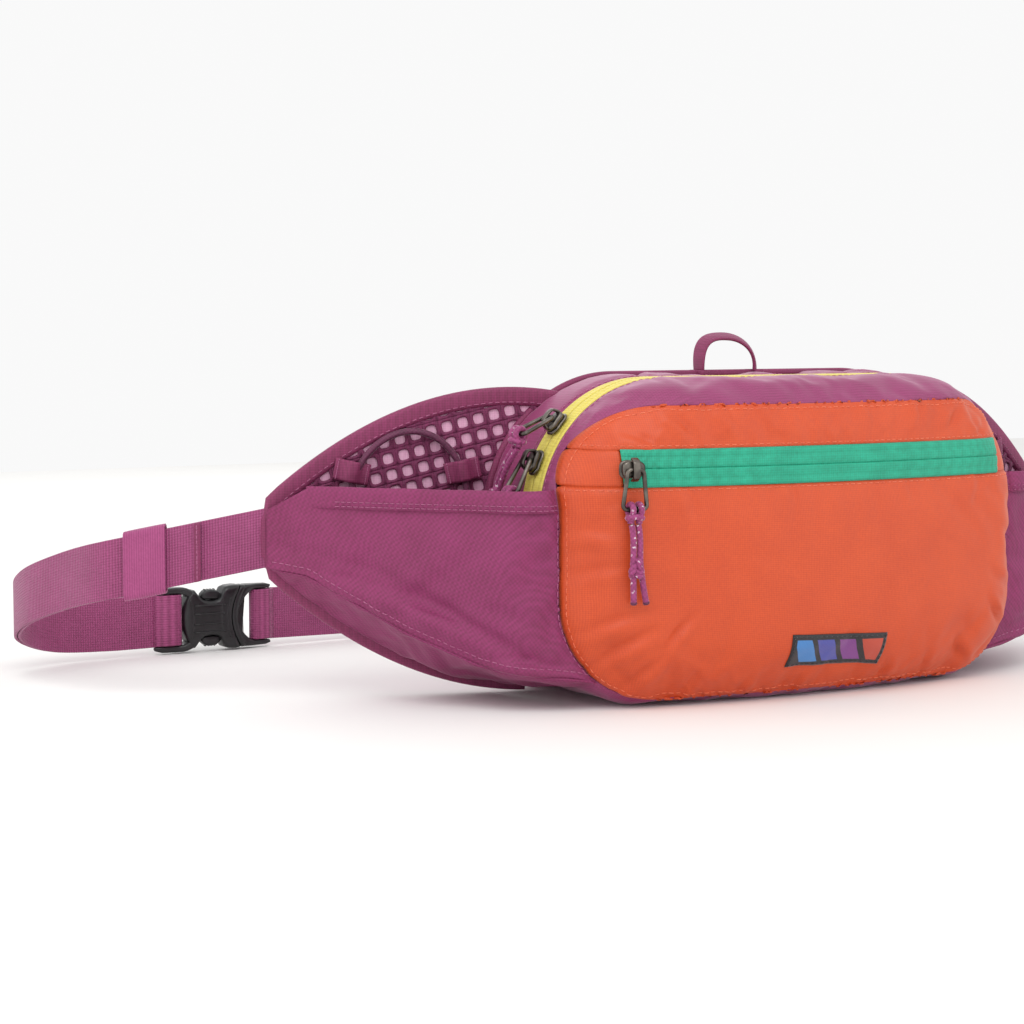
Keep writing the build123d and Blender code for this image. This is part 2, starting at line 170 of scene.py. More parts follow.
def apply_changes(piece):
    """Turn a piece's modifiers into its mesh."""
    graph = bpy.context.evaluated_depsgraph_get()
    mesh = bpy.data.meshes.new_from_object(piece.evaluated_get(graph))
    old = piece.data
    piece.modifiers.clear()
    piece.data = mesh
    bpy.data.meshes.remove(old)


class Shape:
    """Points and faces gathered for one mesh."""

    def __init__(self):
        self.verts = []
        self.faces = []

    def grid(self, rows, closed=False):
        """Rows of points, joined into quads. closed joins each row's end to its start."""
        base, wide = len(self.verts), len(rows[0])
        for row in rows:
            self.verts += [tuple(p) for p in row]
        for i in range(len(rows) - 1):
            for j in range(wide if closed else wide - 1):
                a, b = base + i * wide + j, base + i * wide + (j + 1) % wide
                self.faces.append((a, b, b + wide, a + wide))
        return self

    def capped(self, rows):
        """Closed rows with a flat face on each end."""
        base, wide = len(self.verts), len(rows[0])
        self.grid(rows, closed=True)
        last = base + (len(rows) - 1) * wide
        self.faces.append(tuple(range(base + wide - 1, base - 1, -1)))
        self.faces.append(tuple(range(last, last + wide)))
        return self

    def tube(self, path, section, ups):
        """Section, a list of (side, up) offsets, swept along a path of points. ups gives the
        up direction at each point, or one for all."""
        points = [Vector(p) for p in path]
        rows = []
        for i, p in enumerate(points):
            along = (points[min(i + 1, len(points) - 1)] - points[max(i - 1, 0)]).normalized()
            up = Vector(ups[i] if isinstance(ups, list) else ups)
            side = along.cross(up).normalized()
            up = side.cross(along)
            offsets = section[i] if isinstance(section[0], list) else section
            rows.append([p + side * s + up * u for s, u in offsets])
        return self.capped(rows)

    def piece(self, name, material, body, nodes=(), slot=None, smooth=True, ride=True):
        return mesh_piece(name, self.verts, self.faces, material, body, nodes, smooth, ride)


def circle(radius, count=12, flat=1.0):
    return [(radius * cos(2 * pi * k / count), flat * radius * sin(2 * pi * k / count)) for k in range(count)]


def rounded(wide, high, corner, steps=3):
    """Rounded rectangle as a section."""
    points = []
    for sx, sy, start in ((1, 1, 0), (-1, 1, 90), (-1, -1, 180), (1, -1, 270)):
        for k in range(steps + 1):
            a = radians(start + 90 * k / steps)
            points.append((sx * (wide / 2 - corner) + corner * cos(a), sy * (high / 2 - corner) + corner * sin(a)))
    return points


def lerp(a, b, t):
    return a + (b - a) * t


def smooth_line(points, step):
    """Points every few millimetres along a smooth line through the given ones."""
    points = [Vector(p) for p in points]
    ends = [points[0] * 2 - points[1]] + points + [points[-1] * 2 - points[-2]]
    line = []
    for i in range(1, len(ends) - 2):
        a, b, c, d = ends[i - 1:i + 3]
        count = max(1, round((c - b).length / step))
        for k in range(count):
            t = k / count
            line.append(0.5 * (2 * b + (c - a) * t + (2 * a - 5 * b + 4 * c - d) * t**2
                               + (3 * b - a - 3 * c + d) * t**3))
    return line + [points[-1]]


def along_line(line, step):
    """Evenly spaced points and directions along a line."""
    total = sum((b - a).length for a, b in zip(line, line[1:]))
    count = max(2, round(total / step))
    found, walked, k = [], 0.0, 0
    for a, b in zip(line, line[1:]):
        run = (b - a).length
        while k <= count and total * k / count <= walked + run + 1e-6:
            found.append((a.lerp(b, min(1.0, (total * k / count - walked) / run)), (b - a).normalized()))
            k += 1
        walked += run
    return found

# ---------------------------------------------------------------- materials

BAND = 0.1 * pi           # a wave texture's period in metres, at scale 1


def cloth(name, colour, shade, thread=1.0, raised=0.06, roughness=0.62, sheen=0.35, tint="#FFFFFF",
          slant=None, crease=0.0, ways="XYZ", fleck=None):
    """Woven nylon or polyester. thread is the thread spacing in mm, drawn no finer than the eye
    can see at arm's length, and raised is how far threads stand up. slant turns the weave into a
    diagonal twill, crease adds soft wrinkles some 25 mm long, ways names the directions that
    threads cross, and fleck scatters threads of another colour."""
    material, tree = blank(name)
    place = add(tree, "ShaderNodeTexCoord")
    at = [("Vector", place, "Object")]
    if slant:
        turned = add(tree, "ShaderNodeMapping", [("Vector", place, "Object")], Rotation=slant)
        at = [("Vector", turned, "Vector")]
    bands = [add(tree, "ShaderNodeTexWave", at, bands_direction=d, Scale=BAND / (thread * MM),
                 Distortion=0.4, Detail=1.0) for d in ways]
    weave = bands[0]
    for band in bands[1:]:
        weave = add(tree, "ShaderNodeMath", [(0, weave, 0), (1, band, "Fac")], operation="ADD")
    weave = add(tree, "ShaderNodeMapRange", [("Value", weave, 0)], From_Max=float(len(ways)))
    mottle = add(tree, "ShaderNodeTexNoise", at, Scale=1 / (18 * MM), Detail=3.0, Roughness=0.6)
    fine = add(tree, "ShaderNodeTexNoise", at, Scale=1 / (1.1 * MM), Detail=2.0)
    tone = add(tree, "ShaderNodeMath", [(0, mottle, "Fac"), (1, fine, "Fac")], operation="ADD")
    tone = add(tree, "ShaderNodeMath", [(0, tone, 0), (1, weave, 0)], operation="ADD")
    tone = add(tree, "ShaderNodeMapRange", [("Value", tone, 0)], From_Min=0.95, From_Max=2.15)
    paint = add(tree, "ShaderNodeMixRGB", [("Fac", tone, 0)], Color1=linear(shade), Color2=linear(colour))
    height = add(tree, "ShaderNodeMath", [(0, fine, "Fac"), (1, weave, 0)], operation="ADD")
    if fleck:
        spots = add(tree, "ShaderNodeTexVoronoi", at, Scale=1 / (0.85 * MM))
        chosen = add(tree, "ShaderNodeMapRange", [("Value", spots, "Color")], From_Min=0.84, From_Max=0.88, To_Max=0.75)
        paint = add(tree, "ShaderNodeMixRGB", [("Fac", chosen, 0), ("Color1", paint, 0)], Color2=linear(fleck))
    bump = add(tree, "ShaderNodeBump", [("Height", height, 0)], Strength=0.55, Distance=raised * MM)
    if crease:
        fold = add(tree, "ShaderNodeTexNoise", at, Scale=1 / (26 * MM), Detail=1.5, Distortion=0.6)
        bump = add(tree, "ShaderNodeBump", [("Height", fold, "Fac"), ("Normal", bump, 0)],
                   Strength=0.5, Distance=crease * MM)
    rough = add(tree, "ShaderNodeMapRange", [("Value", fine, "Fac")], To_Min=roughness - 0.08,
                To_Max=roughness + 0.08)
    shader = add(tree, "ShaderNodeBsdfPrincipled",
                 [("Base Color", paint, 0), ("Normal", bump, 0), ("Roughness", rough, 0)],
                 Sheen_Weight=sheen, Sheen_Roughness=0.35, Sheen_Tint=linear(tint), IOR=1.5)
    add(tree, "ShaderNodeOutputMaterial", [("Surface", shader, 0)])
    return material


def ribbed(name, colour, shade, direction, pitch, raised=0.25, roughness=0.6, sheen=0.3):
    """Woven strip: ribs pitch mm apart along direction, with fine threads between them."""
    material, tree = blank(name)
    place = add(tree, "ShaderNodeTexCoord")
    at = [("Vector", place, "UV")]
    ribs = add(tree, "ShaderNodeTexWave", at, bands_direction=direction, Scale=BAND / (pitch * MM),
               Distortion=0.25, Detail=0.5)
    threads = add(tree, "ShaderNodeTexWave", at, bands_direction="Y" if direction == "X" else "X",
                  Scale=BAND / (1.15 * MM), Distortion=0.5)
    grain = add(tree, "ShaderNodeTexNoise", [("Vector", place, "Object")], Scale=1 / (1.3 * MM), Detail=2.0)
    mottle = add(tree, "ShaderNodeTexNoise", [("Vector", place, "Object")], Scale=1 / (14 * MM), Detail=2.0)
    height = add(tree, "ShaderNodeMath", [(0, ribs, "Fac"), (1, threads, "Fac")], operation="ADD")
    tone = add(tree, "ShaderNodeMath", [(0, ribs, "Fac"), (1, grain, "Fac")], operation="ADD")
    tone = add(tree, "ShaderNodeMath", [(0, tone, 0), (1, mottle, "Fac")], operation="ADD")
    tone = add(tree, "ShaderNodeMapRange", [("Value", tone, 0)], From_Min=0.75, From_Max=2.2)
    paint = add(tree, "ShaderNodeMixRGB", [("Fac", tone, 0)], Color1=linear(shade), Color2=linear(colour))
    bump = add(tree, "ShaderNodeBump", [("Height", height, 0)], Strength=0.6, Distance=raised * MM)
    shader = add(tree, "ShaderNodeBsdfPrincipled", [("Base Color", paint, 0), ("Normal", bump, 0)],
                 Roughness=roughness, Sheen_Weight=sheen, Sheen_Roughness=0.35, IOR=1.5)
    add(tree, "ShaderNodeOutputMaterial", [("Surface", shader, 0)])
    return material


def moulded(name, colour, edge, roughness=0.42, grit=0.9, metallic=0.0, coat=0.0):
    """Moulded plastic or cast metal: fine grit, with slightly paler rubbed patches."""
    material, tree = blank(name)
    place = add(tree, "ShaderNodeTexCoord")
    at = [("Vector", place, "Object")]
    grain = add(tree, "ShaderNodeTexNoise", at, Scale=1 / (grit * MM), Detail=4.0)
    rubbed = add(tree, "ShaderNodeTexNoise", at, Scale=1 / (9 * MM), Detail=3.0, Roughness=0.65)
    wear = add(tree, "ShaderNodeMapRange", [("Value", rubbed, "Fac")], From_Min=0.42, From_Max=0.75)
    paint = add(tree, "ShaderNodeMixRGB", [("Fac", wear, 0)], Color1=linear(colour), Color2=linear(edge))
    rough = add(tree, "ShaderNodeMapRange", [("Value", grain, "Fac")], To_Min=roughness - 0.1,
                To_Max=roughness + 0.12)
    bump = add(tree, "ShaderNodeBump", [("Height", grain, "Fac")], Strength=0.35, Distance=0.05 * MM)
    shader = add(tree, "ShaderNodeBsdfPrincipled",
                 [("Base Color", paint, 0), ("Roughness", rough, 0), ("Normal", bump, 0)],
                 Metallic=metallic, Coat_Weight=coat, Coat_Roughness=0.3)
    add(tree, "ShaderNodeOutputMaterial", [("Surface", shader, 0)])
    return material


# Nylon ripstop, woven and dyed: crisp and slightly glossy, with soft creases.
orange_ripstop = cloth("orange_ripstop", "#D2501F", "#BC3F16", thread=0.8, raised=0.03, roughness=0.5, sheen=0.15,
                       tint="#FFC7A8", crease=2.0, ways="XZ")
# Nylon pack cloth, plain woven: a soft sheen that pales the plum where it turns away.
plum_nylon = cloth("plum_nylon", "#9A3B6E", "#7E2A55", raised=0.06, roughness=0.5, sheen=0.35,
                   tint="#FFD6EA", crease=1.2)
# Stretch twill: fine diagonal ribs, matt.
plum_twill = cloth("plum_twill", "#903065", "#73244B", thread=1.3, raised=0.12, roughness=0.7, sheen=0.12,
                   tint="#FFC9E2", slant=(0.0, radians(40), radians(20)), crease=0.8)
# Open polyester spacer mesh: matt threads, darker than the lining behind them.
plum_mesh = cloth("plum_mesh", "#84305C", "#5E1F42", thread=0.9, raised=0.1, roughness=0.75, sheen=0.1)
# Fine polyester lining behind the mesh: pale pink and soft.
pink_lining = cloth("pink_lining", "#EBB9D2", "#D79ABB", thread=0.9, raised=0.05, roughness=0.72, sheen=0.3)
# Folded grosgrain binding: crosswise ribs under a millimetre apart, sewn close to both edges.
plum_binding = cloth("plum_binding", "#8E3361", "#712649", thread=1.1, raised=0.14, roughness=0.66, sheen=0.12,
                     tint="#FFC9E2")
# Bonded nylon sewing thread, coloured paler than the cloth as a painted highlight on each stitch.
plum_thread = cloth("plum_thread", "#B9678F", "#8F446C", thread=0.9, raised=0.05, roughness=0.5, sheen=0.2)
orange_thread = cloth("orange_thread", "#F08560", "#D0532E", thread=0.9, raised=0.05, roughness=0.5, sheen=0.2)
# Knitted elastic: closely ribbed across, matt and a little redder than the webbing.
plum_elastic = ribbed("plum_elastic", "#AC4A80", "#8C3566", "X", 1.0, raised=0.15, roughness=0.6, sheen=0.15)
# Nylon webbing, woven in crosswise ribs: satin, with a row of threads lengthwise.
plum_webbing = ribbed("plum_webbing", "#A34679", "#7C2D57", "X", 1.25, raised=0.3, roughness=0.55, sheen=0.2)
# Elastic cord in a woven jacket.
plum_cord = cloth("plum_cord", "#6E2C50", "#4C1A36", thread=1.2, raised=0.2, slant=(0.6, 0.6, 0.6))
# Braided accessory cord: plum with scattered white threads.
flecked_cord = cloth("flecked_cord", "#A5427C", "#7C2C59", thread=1.3, raised=0.3, slant=(0.6, 0.6, 0.6),
                     fleck="#E6D3DD")
# Polyester zip tape, knitted in fine ribs, and the coil under it, coloured darker as painted shade where the tape edges
# cover it.
green_zip = cloth("green_zip", "#20AD8B", "#0F8A6C", raised=0.12, roughness=0.6, sheen=0.25, tint="#CFFFF2")
green_coil = cloth("green_coil", "#16806C", "#0B5F50", raised=0.2, roughness=0.5, sheen=0.15)
yellow_zip = cloth("yellow_zip", "#E6D86A", "#CDB946", raised=0.12, roughness=0.6, sheen=0.25, tint="#FFFAE0")
yellow_coil = cloth("yellow_coil", "#A98C3C", "#86692A", raised=0.2, roughness=0.5, sheen=0.15)
# Die-cast zinc with a gunmetal plate, tumbled: dark, satin, brighter where it rubs.
gunmetal = moulded("gunmetal", "#55504C", "#8C857C", roughness=0.34, grit=1.2, metallic=1.0)
# Injection-moulded acetal: near black, with a fine spark-eroded grain.
black_acetal = moulded("black_acetal", "#151416", "#222124", roughness=0.33)
# Closed-cell foam and coated lining, which are sealed inside.
grey_foam = moulded("grey_foam", "#8E8E92", "#A2A2A6", roughness=0.85, grit=2.0)

# ---------------------------------------------------------------- body outline and surfaces

HALF, TALL, TOP_R, LOW_R = 118.0, 134.0, 57.0, 42.0     # gusset outline
PANEL_HALF, PANEL_LOW, PANEL_HIGH, PANEL_LOW_R, PANEL_TOP_R = 115.6, 3.0, 124.0, 40.0, 38.0
FRONT_R = 450.0           # bulge of the front panel
FRONT_CENTRE = -40.0 + sqrt(FRONT_R**2 - HALF**2)
FRONT_ROUND, BACK_ROUND = 24.0, 5.0
BACK_LOW_Y, BACK_LEAN = 42.0, 14.0 / 134.0
ZIP_Z, TAPE = 99.0, 14.7
BAND_LOW, BAND_HIGH, ZIP_HALF = ZIP_Z - TAPE / 2, ZIP_Z + TAPE / 2, 96.0
MAIN_Y = -7.5
TAPE_FRONT, TAPE_BACK = MAIN_Y - TAPE / 2, MAIN_Y + TAPE / 2
GRID = 2.6                # spacing of the cloth's grid


def course(half, low, high, low_r, high_r, upper, step=GRID):
    """Points and outward directions round an outline. The upper course runs from the left side,
    over the top, to the right side, and the lower one runs back along the bottom."""
    def straight(a, b, out, count):
        return [((lerp(a[0], b[0], k / count), lerp(a[1], b[1], k / count)), out) for k in range(count)]

    def arc(cx, cz, r, start, end, count):
        found = []
        for k in range(count):
            a = radians(lerp(start, end, k / count))
            found.append(((cx + r * cos(a), cz + r * sin(a)), (cos(a), sin(a))))
        return found

    side = round((TALL - TOP_R - LOW_R) / step)
    top = round(2 * (HALF - TOP_R) / step)
    bottom = round(2 * (HALF - LOW_R) / step)
    top_arc, low_arc = round(TOP_R * pi / 2 / step), round(LOW_R * pi / 2 / step)
    if upper:
        loop = straight((-half, low + low_r), (-half, high - high_r), (-1, 0), side)
        loop += arc(-half + high_r, high - high_r, high_r, 180, 90, top_arc)
        loop += straight((-half + high_r, high), (half - high_r, high), (0, 1), top)
        loop += arc(half - high_r, high - high_r, high_r, 90, 0, top_arc)
        return loop + straight((half, high - high_r), (half, low + low_r), (1, 0), side) + [
            ((half, low + low_r), (1, 0))]
    loop = arc(half - low_r, low + low_r, low_r, 0, -90, low_arc)
    loop += straight((half - low_r, low), (-half + low_r, low), (0, -1), bottom)
    return loop + arc(-half + low_r, low + low_r, low_r, -90, -180, low_arc) + [((-half, low + low_r), (-1, 0))]


OUTER = (HALF, 0.0, TALL, LOW_R, TOP_R)
PANEL = (PANEL_HALF, PANEL_LOW, PANEL_HIGH, PANEL_LOW_R, PANEL_TOP_R)


def inset(x, z):
    """How far a point lies inside the gusset's outline."""
    x = abs(x)
    if x > HALF - TOP_R and z > TALL - TOP_R:
        return TOP_R - hypot(x - HALF + TOP_R, z - TALL + TOP_R)
    if x > HALF - LOW_R and z < LOW_R:
        return LOW_R - hypot(x - HALF + LOW_R, z - LOW_R)
    return min(HALF - x, z, TALL - z)


def rounding(e, r):
    """Setback of a rounded edge of radius r, at a distance e in from it."""
    e = min(max(e, 0.0), r)
    return r - sqrt(r**2 - (r - e)**2)


def front_y(x, z):
    return FRONT_CENTRE - sqrt(FRONT_R**2 - x**2) + rounding(inset(x, z), FRONT_ROUND)


def back_y(x, z):
    return BACK_LOW_Y - BACK_LEAN * z - rounding(inset(x, z), BACK_ROUND)


def half_at(z, shape):
    """Half the width of an outline at a height."""
    half, low, high, low_r, high_r = shape
    if z < low + low_r:
        return half - low_r + sqrt(max(0.0, low_r**2 - (low + low_r - z)**2))
    if z > high - high_r:
        return half - high_r + sqrt(max(0.0, high_r**2 - (z - high + high_r)**2))
    return half


def levels(shape, start, end, step=GRID):
    """Heights between two levels, closer together where the outline turns in."""
    _, low, high, low_r, high_r = shape
    low_turn, high_turn = low + low_r, high - high_r
    found = []
    if start < low_turn:
        a0 = 0 if start <= low else pi / 2 - atan2(low_turn - start, sqrt(low_r**2 - (low_turn - start)**2))
        count = max(2, round((pi / 2 - a0) * low_r / step))
        found += [low_turn - low_r * cos(lerp(a0, pi / 2, k / count)) for k in range(count)]
        start = low_turn
    middle = min(end, high_turn)
    if middle > start:
        count = max(1, round((middle - start) / step))
        found += [lerp(start, middle, k / count) for k in range(count)]
        start = middle
    if end > high_turn:
        a0 = atan2(start - high_turn, sqrt(high_r**2 - (start - high_turn)**2))
        rise = min(1.0, (end - high_turn) / high_r)
        a1 = atan2(rise, sqrt(max(0.0, 1 - rise**2)))
        count = max(2, round((a1 - a0) * high_r / step))
        found += [high_turn + high_r * sin(lerp(a0, a1, k / count)) for k in range(count)]
    return found + [end]


def panel_rows(shape, start, end, surface, columns, left=None, right=None):
    rows = []
    for z in levels(shape, start, end):
        half = half_at(z, shape)
        a = -half if left is None else left(z)
        b = half if right is None else right(z)
        rows.append([(x, surface(x, z), z) for x in (lerp(a, b, k / columns) for k in range(columns + 1))])
    return rows


def ring_rows(upper, zone):
    """Rows of points from the panel seam to the back. zone picks front, rear or all, and all also takes in the band
    under the main zip.
    """
    outer, panel = course(*OUTER, upper), course(*PANEL, upper)
    rows = []
    if zone in ("front", "all"):
        steps = 9
        for k in range(steps + 1):
            row = []
            for (o, _), (p, _) in zip(outer, panel):
                start = inset(*p)
                theta = atan2(sqrt(max(0.0, 1 - (1 - start / FRONT_ROUND)**2)), 1 - start / FRONT_ROUND)
                share = (1 - cos(theta * (1 - k / steps))) / (1 - cos(theta))
                x, z = lerp(o[0], p[0], share), lerp(o[1], p[1], share)
                row.append((x, front_y(x, z), z))
            rows.append(row)
        depths = [0.25, 0.5, 0.75, 1.0]
        for d in depths:
            rows.append([(x, lerp(front_y(x, z), TAPE_FRONT, d), z) for (x, z), _ in outer])
    if zone == "all":
        rows += [[(x, TAPE_FRONT + TAPE * k / 5, z) for (x, z), _ in outer] for k in range(1, 6)]
    if zone in ("rear", "all"):
        count = 13
        first = 1 if zone == "all" else 0
        rows += [[(x, lerp(TAPE_BACK, back_y(x, z), k / count), z) for (x, z), _ in outer]
                 for k in range(first, count + 1)]
    return rows


# ---------------------------------------------------------------- sewn cloth panels

def pinned(rows):
    """Which points of a grid lie on its border, where it is sewn."""
    wide = len(rows[0])
    return [i * wide + j for i in range(len(rows)) for j in range(wide)
            if i in (0, len(rows) - 1) or j in (0, wide - 1)]


def sewn_panel(name, rows, material, nodes, puff, ease, flip=False):
    """A cut panel sewn along its border. puff is the pressure behind it and ease is the extra
    cloth, as a share, which gathers at the seams."""
    shape = Shape().grid(rows)
    faces = [tuple(reversed(f)) for f in shape.faces] if flip else shape.faces
    piece = mesh_piece(name, shape.verts, faces, material, "main_body", nodes)
    group = piece.vertex_groups.new(name="seam")
    group.add(pinned(rows), 1.0, "REPLACE")
    cloth_change = change(piece, "CLOTH")
    settings = cloth_change.settings
    settings.quality = 6
    settings.mass = 0.25
    settings.tension_stiffness = 20
    settings.compression_stiffness = 12
    settings.bending_stiffness = 0.35
    settings.tension_damping = 8
    settings.air_damping = 3
    settings.use_pressure = True
    settings.uniform_pressure_force = puff
    settings.shrink_min = -ease
    settings.vertex_group_mass = "seam"
    settings.effector_weights.gravity = 0
    return piece


PUFF_FRAMES = 22


def settle(pieces, caps):
    """Run the cloth of all panels together, cap how far each point moved, and divide
    the panels more finely."""
    rests = [[v.co.copy() for v in piece.data.vertices] for piece in pieces]
    for k in range(1, PUFF_FRAMES + 1):
        scene.frame_set(k)
    for piece, rest, cap in zip(pieces, rests, caps):
        graph = bpy.context.evaluated_depsgraph_get()
        moved = piece.evaluated_get(graph).to_mesh()
        target = [v.co.copy() for v in moved.vertices]
        piece.evaluated_get(graph).to_mesh_clear()
        piece.modifiers.clear()
        for v, a, b in zip(piece.data.vertices, rest, target):
            step = b - a
            limit = cap(a / MM) * MM
            if step.length > 1e-9:
                # A soft cap, so that a full bulge stays round.
                step *= limit * (1 - 2.718 ** (-step.length / limit)) / step.length if limit > 0 else 0
            v.co = a + step
        piece.data.update()
    scene.frame_set(1)
    for piece in pieces:
        change(piece, "SUBSURF", levels=1, render_levels=1)
        apply_changes(piece)
        piece.data.polygons.foreach_set("use_smooth", [True] * len(piece.data.polygons))


COLUMNS = 88
panels = [
    sewn_panel("front_panel_lower_cloth", panel_rows(PANEL, PANEL_LOW, BAND_LOW, front_y, COLUMNS),
               orange_ripstop, ["front_panel_lower"], 2.2, 0.035),
    sewn_panel("front_panel_upper_cloth", panel_rows(PANEL, BAND_HIGH, PANEL_HIGH, front_y, COLUMNS),
               orange_ripstop, ["front_panel_upper"], 2.0, 0.03),
    sewn_panel("garage_left_cloth", panel_rows(PANEL, BAND_LOW, BAND_HIGH, front_y, 8, right=lambda z: -ZIP_HALF),
               orange_ripstop, ["front_zip_garage_left"], 1.2, 0.01),
    sewn_panel("garage_right_cloth", panel_rows(PANEL, BAND_LOW, BAND_HIGH, front_y, 8, left=lambda z: ZIP_HALF),
               orange_ripstop, ["front_zip_garage_right"], 1.2, 0.01),
    sewn_panel("front_gusset_cloth", ring_rows(True, "front"), plum_nylon, ["front_gusset"],
               1.2, 0.02),
    sewn_panel("rear_gusset_cloth", ring_rows(True, "rear"), plum_nylon, ["rear_gusset"],
               1.6, 0.03),
    sewn_panel("bottom_cloth", ring_rows(False, "all"), plum_nylon, ["bottom_panel"],
               0.8, 0.02),
    sewn_panel("back_panel_mesh", panel_rows(OUTER, 0.0, TALL, back_y, COLUMNS), plum_mesh, ["back_panel"],
               1.0, 0.02, flip=True),
]

# ---------------------------------------------------------------- wing and pocket planes

WING_ROOT, WING_TIP = (-119.0, 32.0), (-208.0, 63.0)
POCKET_ROOT, POCKET_TIP = (-118.5, -38.0), (-207.0, 59.0)
HEM_Z = 90.0


class Upright:
    """Upright plane through two plan points: u runs along it, z is height and w stands out
    towards the front. hand mirrors it to the right side."""

    def __init__(self, start, end, hand):
        self.run = hypot(end[0] - start[0], end[1] - start[1])
        self.along = ((end[0] - start[0]) / self.run, (end[1] - start[1]) / self.run)
        self.start, self.hand = start, hand
        self.out = Vector((-self.along[1] * hand, self.along[0], 0))

    def at(self, u, z, w=0.0):
        x = self.start[0] + self.along[0] * u - self.along[1] * w
        y = self.start[1] + self.along[1] * u + self.along[0] * w
        return Vector((x * self.hand, y, z))


ROOT_REACH = 36.0         # how far a wing runs on behind the corner of the body


def through(points):
    """Height along a smooth edge through three points."""
    (a, fa), (b, fb), (c, fc) = points
    return lambda u: (fa * (u - b) * (u - c) / ((a - b) * (a - c)) + fb * (u - a) * (u - c) / ((b - a) * (b - c))
                      + fc * (u - a) * (u - b) / ((c - a) * (c - b)))


def broken(points):
    """Height along straight runs between points."""
    def height(u):
        for (a, fa), (b, fb) in zip(points, points[1:]):
            if u <= b:
                return lerp(fa, fb, (u - a) / (b - a))
        return points[-1][1]
    return height


sides = {"left": 1, "right": -1}
wings = {side: Upright(WING_ROOT, WING_TIP, hand) for side, hand in sides.items()}
pockets = {side: Upright(POCKET_ROOT, POCKET_TIP, hand) for side, hand in sides.items()}
WING_RUN, POCKET_RUN = wings["left"].run, pockets["left"].run
wing_top = through([(0, 129.5), (WING_RUN * 0.52, 114), (WING_RUN, 81)])
wing_bottom = through([(0, 2), (WING_RUN * 0.52, 20), (WING_RUN, 54.5)])
pocket_bottom = broken([(0, 11), (36, 18.5), (68, 30.5), (90, 41.5), (112, 52.5), (POCKET_RUN, 55)])
pocket_top = broken([(0, HEM_Z), (111, HEM_Z), (POCKET_RUN, 79.5)])


def pocket_spot(side, u, z, w=0.9):
    """A point on the pocket, whose root is sewn into the seam of the front panel."""
    plane = pockets[side]
    x = -half_at(z, PANEL) * plane.hand
    seam = Vector((x, front_y(x, z), z)) + Vector((-0.9 * plane.hand, -0.5, 0)) * w
    share = min(1.0, u / 26)
    return seam.lerp(plane.at(u, z, w), share * share * (3 - 2 * share))


def pocket_rows(side):
    rows = []
    for j in range(35):
        row = []
        for k in range(57):
            u = lerp(0.0, POCKET_RUN - 0.5, k / 56)
            z = lerp(pocket_bottom(u) + 0.2, pocket_top(u) - 0.4, j / 34)
            row.append(pocket_spot(side, u, z))
        rows.append(row)
    return rows


def fold_rows(side):
    """Underside of the pocket: from its lower edge back to the wing's lower binding."""
    wing, rows = wings[side], []
    for k in range(45):
        t = k / 44 * 0.97
        u = t * POCKET_RUN
        front = pocket_spot(side, u, pocket_bottom(u) + 0.2)
        back = wing.at(t * WING_RUN, wing_bottom(t * WING_RUN) + 5, 2.4)
        rows.append([front.lerp(back, j / 14) - Vector((0, 0, 2.2 * sin(pi * j / 14) * (1 - t))) for j in range(15)])
    return rows


for side in sides:
    turned = side == "right"
    panels.append(sewn_panel(f"pocket_cloth_{side}", pocket_rows(side), plum_twill, [f"pocket_panel_{side}"],
                             1.6, 0.035, flip=not turned))
    panels.append(sewn_panel(f"pocket_fold_cloth_{side}", fold_rows(side), plum_twill, [f"pocket_fold_{side}"],
                             0.8, 0.05, flip=turned))


def front_cap(p):
    """The front panel bulges least under the zip pull and next to the label."""
    near_pull = hypot(p.x + 93, (p.z - 78) * 0.6)
    return 4.2 if near_pull > 45 else 4.2 - 2.2 * (1 - near_pull / 45)


def pocket_cap(p):
    """A pocket bulges most at mid-height, and its hem stays straight."""
    return 5.0 - 4.4 * max(0.0, min(1.0, (p.z - 60) / 18))


def wing_side(p):
    """A point's run and height on the pocket's plane, with a point on the right mirrored to the left."""
    start = Vector(POCKET_ROOT)
    along = Vector(pockets["left"].along)
    return (Vector((-abs(p.x), p.y)) - start).dot(along), p.z


def flat_spot(p):
    return p.x, p.z


def ironed_in(piece, spot, creases):
    """Soft creases set into settled cloth: each is a valley with a ridge beside it, between two
    places on the panel, so deep and so wide."""
    for v in piece.data.vertices:
        u, z = spot(v.co / MM)
        drop = 0.0
        for (u0, z0), (u1, z1), deep, wide in creases:
            run = hypot(u1 - u0, z1 - z0)
            t = ((u - u0) * (u1 - u0) + (z - z0) * (z1 - z0)) / run**2
            if -0.3 < t < 1.3:
                away = ((u - u0) * (z1 - z0) - (z - z0) * (u1 - u0)) / run + 0.05 * run * sin(3.1 * t)
                if abs(away - wide) > 6 * wide:
                    continue
                fade = max(0.0, min(1.0, 1.3 * t + 0.39)) * max(0.0, min(1.0, 1.69 - 1.3 * t))
                drop += deep * fade * (2.718 ** -((away / wide) ** 2)
                                       - 0.75 * 2.718 ** -(((away - 2.1 * wide) / (1.3 * wide)) ** 2))
        if drop:
            v.co -= v.normal * drop * MM
    piece.data.update()


settle(panels, [front_cap, lambda p: 2.2, lambda p: 1.2, lambda p: 1.2, lambda p: 2.4,
                lambda p: 4.0, lambda p: 1.2 if p.z < 6 else 3.0, lambda p: 2.4,
                pocket_cap, lambda p: 3.4, pocket_cap, lambda p: 3.4])

